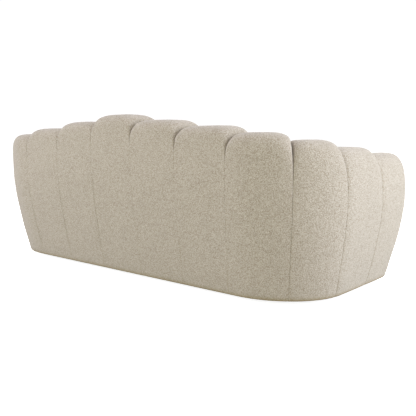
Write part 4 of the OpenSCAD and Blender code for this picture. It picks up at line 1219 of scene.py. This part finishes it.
class SOFA_OT_base(bpy.types.Operator):
    """Builds the dust cover under the seat and finishes the feet and their glides"""

    bl_idname = "sofa.base"
    bl_label = "Dust cover and feet"

    def execute(self, context):
        wall = Wall(context.scene.sofa_padding)
        belly = wall.crest(NOSE) - SHOULDER_H
        stops = [(s, 0.0) for s in np.linspace(0, wall.straight + wall.arc, 49)]
        stops += [(wall.end, a) for a in np.linspace(0, QUARTER, 19)]
        soles = np.array([wall.ring(s, 0, wall.crest(0), belly, a)[0] for s, a in stops])
        half = soles[:, :2] * (1 - DUST_IN / HALF_W, 1 - DUST_IN / HALF_D)
        outline = np.vstack([half, half[:0:-1] * (-1, 1)])
        feet = np.array([v.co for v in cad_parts["feet"].data.vertices])[:, :2]
        low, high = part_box("dust_cover")
        rings = []
        for t in DUST_SHARES:
            plan = outline * t
            far = np.sqrt(((plan[:, None] - feet[None]) ** 2).sum(2)).min(1)
            loose = smooth_step((far - 0.01) / 0.08) * smooth_step((1 - t) / 0.15)
            wavy = noise_at(np.column_stack([plan, 0 * far]), DUST_SCALE)
            hang = loose * (DUST_HANG + DUST_WAVE * wavy)
            rings.append(np.column_stack([plan, high.z - hang]))
        rings = np.array(rings)
        under = rings[::-1] - (0, 0, high.z - low.z)
        points, faces = loft(np.vstack([under, rings]))
        sheet = new_piece("dust_cover_sheet", points, faces, finish("dust_cloth"))
        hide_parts("dust_cover")
        dress(["feet"], "stained_wood", 0.002)
        dress(["foot_glides"], "felt", 0.0012)
        return {"FINISHED"}


class SOFA_OT_stage(bpy.types.Operator):
    """Builds the pale floor, the soft studio light and the camera"""

    bl_idname = "sofa.stage"
    bl_label = "Stage"

    def execute(self, context):
        scene, stage = context.scene, context.scene.sofa_stage
        scene.view_settings.view_transform = "Standard"
        self.floor(scene)
        self.room(scene, stage.sky)
        for name, setting, place, size, tint in LIGHTS:
            lamp = bpy.data.lights.new(name, "AREA")
            lamp.energy, lamp.size, lamp.color = getattr(stage, setting), size, tint
            self.hold(scene, lamp, place, Vector(LIGHT_AIM) - Vector(place))
        lens = bpy.data.cameras.new("camera")
        lens.lens, lens.sensor_width = stage.lens, 36
        turn, fall = math.radians(CAMERA_TURN), math.radians(CAMERA_FALL)
        aim = Vector((math.sin(turn) * math.cos(fall), -math.cos(turn) * math.cos(fall),
                      -math.sin(fall)))
        scene.camera = self.hold(scene, lens, CAMERA_PLACE, aim)
        return {"FINISHED"}

    def hold(self, scene, what, place, aim):
        """Puts a light or a camera at its place, facing along its aim."""
        holder = bpy.data.objects.new(what.name, what)
        holder.location = place
        holder.rotation_euler = aim.to_track_quat("-Z", "Y").to_euler()
        scene.collection.objects.link(holder)
        return holder

    def floor(self, scene):
        """A wide pale floor, a little mottled, that gives less light than it shows the camera."""
        pale = Finish("pale_floor", Roughness=0.9, Specular_IOR_Level=0.0)
        faint = pale.blend(pale.noise(3, 3), (0.92, 0.92, 0.92), (0.96, 0.96, 0.96))
        seen = pale.add("ShaderNodeLightPath").outputs["Is Camera Ray"]
        pale.set(pale.shader, {"Emission Color": faint,
                               "Emission Strength": pale.span(seen, 0, 1, 0.32, 0.95)})
        pale.colour(pale.blend(seen, (0.45, 0.44, 0.42), faint))
        corners = [(x * FLOOR_R, y * FLOOR_R, 0) for x, y in ((-1, -1), (1, -1), (1, 1), (-1, 1))]
        plane = bpy.data.meshes.new("floor")
        plane.from_pydata(corners, [], [(0, 1, 2, 3)])
        plane.materials.append(pale.material)
        ground = bpy.data.objects.new("floor", plane)
        scene.collection.objects.link(ground)

    def room(self, scene, strength):
        """An even white room: its light on the sofa, and the brighter wall that the camera sees."""
        scene.world = bpy.data.worlds.new("room")
        scene.world.use_nodes = True
        tree = scene.world.node_tree
        shown, lit = tree.nodes["Background"], tree.nodes.new("ShaderNodeBackground")
        for wall, glow in ((shown, 1.05), (lit, strength)):
            wall.inputs["Color"].default_value = (1, 1, 1, 1)
            wall.inputs["Strength"].default_value = glow
        mix, path = tree.nodes.new("ShaderNodeMixShader"), tree.nodes.new("ShaderNodeLightPath")
        tree.links.new(path.outputs["Is Camera Ray"], mix.inputs[0])
        tree.links.new(lit.outputs[0], mix.inputs[1])
        tree.links.new(shown.outputs[0], mix.inputs[2])
        tree.links.new(mix.outputs[0], tree.nodes["World Output"].inputs[0])


OPERATORS = (SOFA_OT_channels, SOFA_OT_apron, SOFA_OT_cushion, SOFA_OT_zip, SOFA_OT_deck,
             SOFA_OT_seat_springs, SOFA_OT_timber_frame, SOFA_OT_base, SOFA_OT_stage)


class SOFA_PT_panel(bpy.types.Panel):
    """Lists the sofa's operators and sizes in the sidebar"""

    bl_label = "Channel sofa"
    bl_idname = "SOFA_PT_panel"
    bl_space_type = "VIEW_3D"
    bl_region_type = "UI"
    bl_category = "Sofa"

    def draw(self, context):
        for operator in OPERATORS:
            self.layout.operator(operator.bl_idname)
        for group in GROUPS:
            box = self.layout.box()
            for name in group.__annotations__:
                box.prop(getattr(context.scene, GROUPS[group]), name)


GROUPS = {SofaPadding: "sofa_padding", SofaCushion: "sofa_cushion",
          SofaColours: "sofa_colours", SofaStage: "sofa_stage"}


def register():
    for kind in (*GROUPS, *OPERATORS, SOFA_PT_panel):
        bpy.utils.register_class(kind)
    for group, name in GROUPS.items():
        setattr(bpy.types.Scene, name, PointerProperty(type=group))


def unregister():
    for name in GROUPS.values():
        delattr(bpy.types.Scene, name)
    for kind in (SOFA_PT_panel, *reversed(OPERATORS), *GROUPS):
        bpy.utils.unregister_class(kind)


def main():
    register()
    for operator in OPERATORS:
        getattr(bpy.ops.sofa, operator.bl_idname.split(".")[1])()


if __name__ == "__main__":
    main()
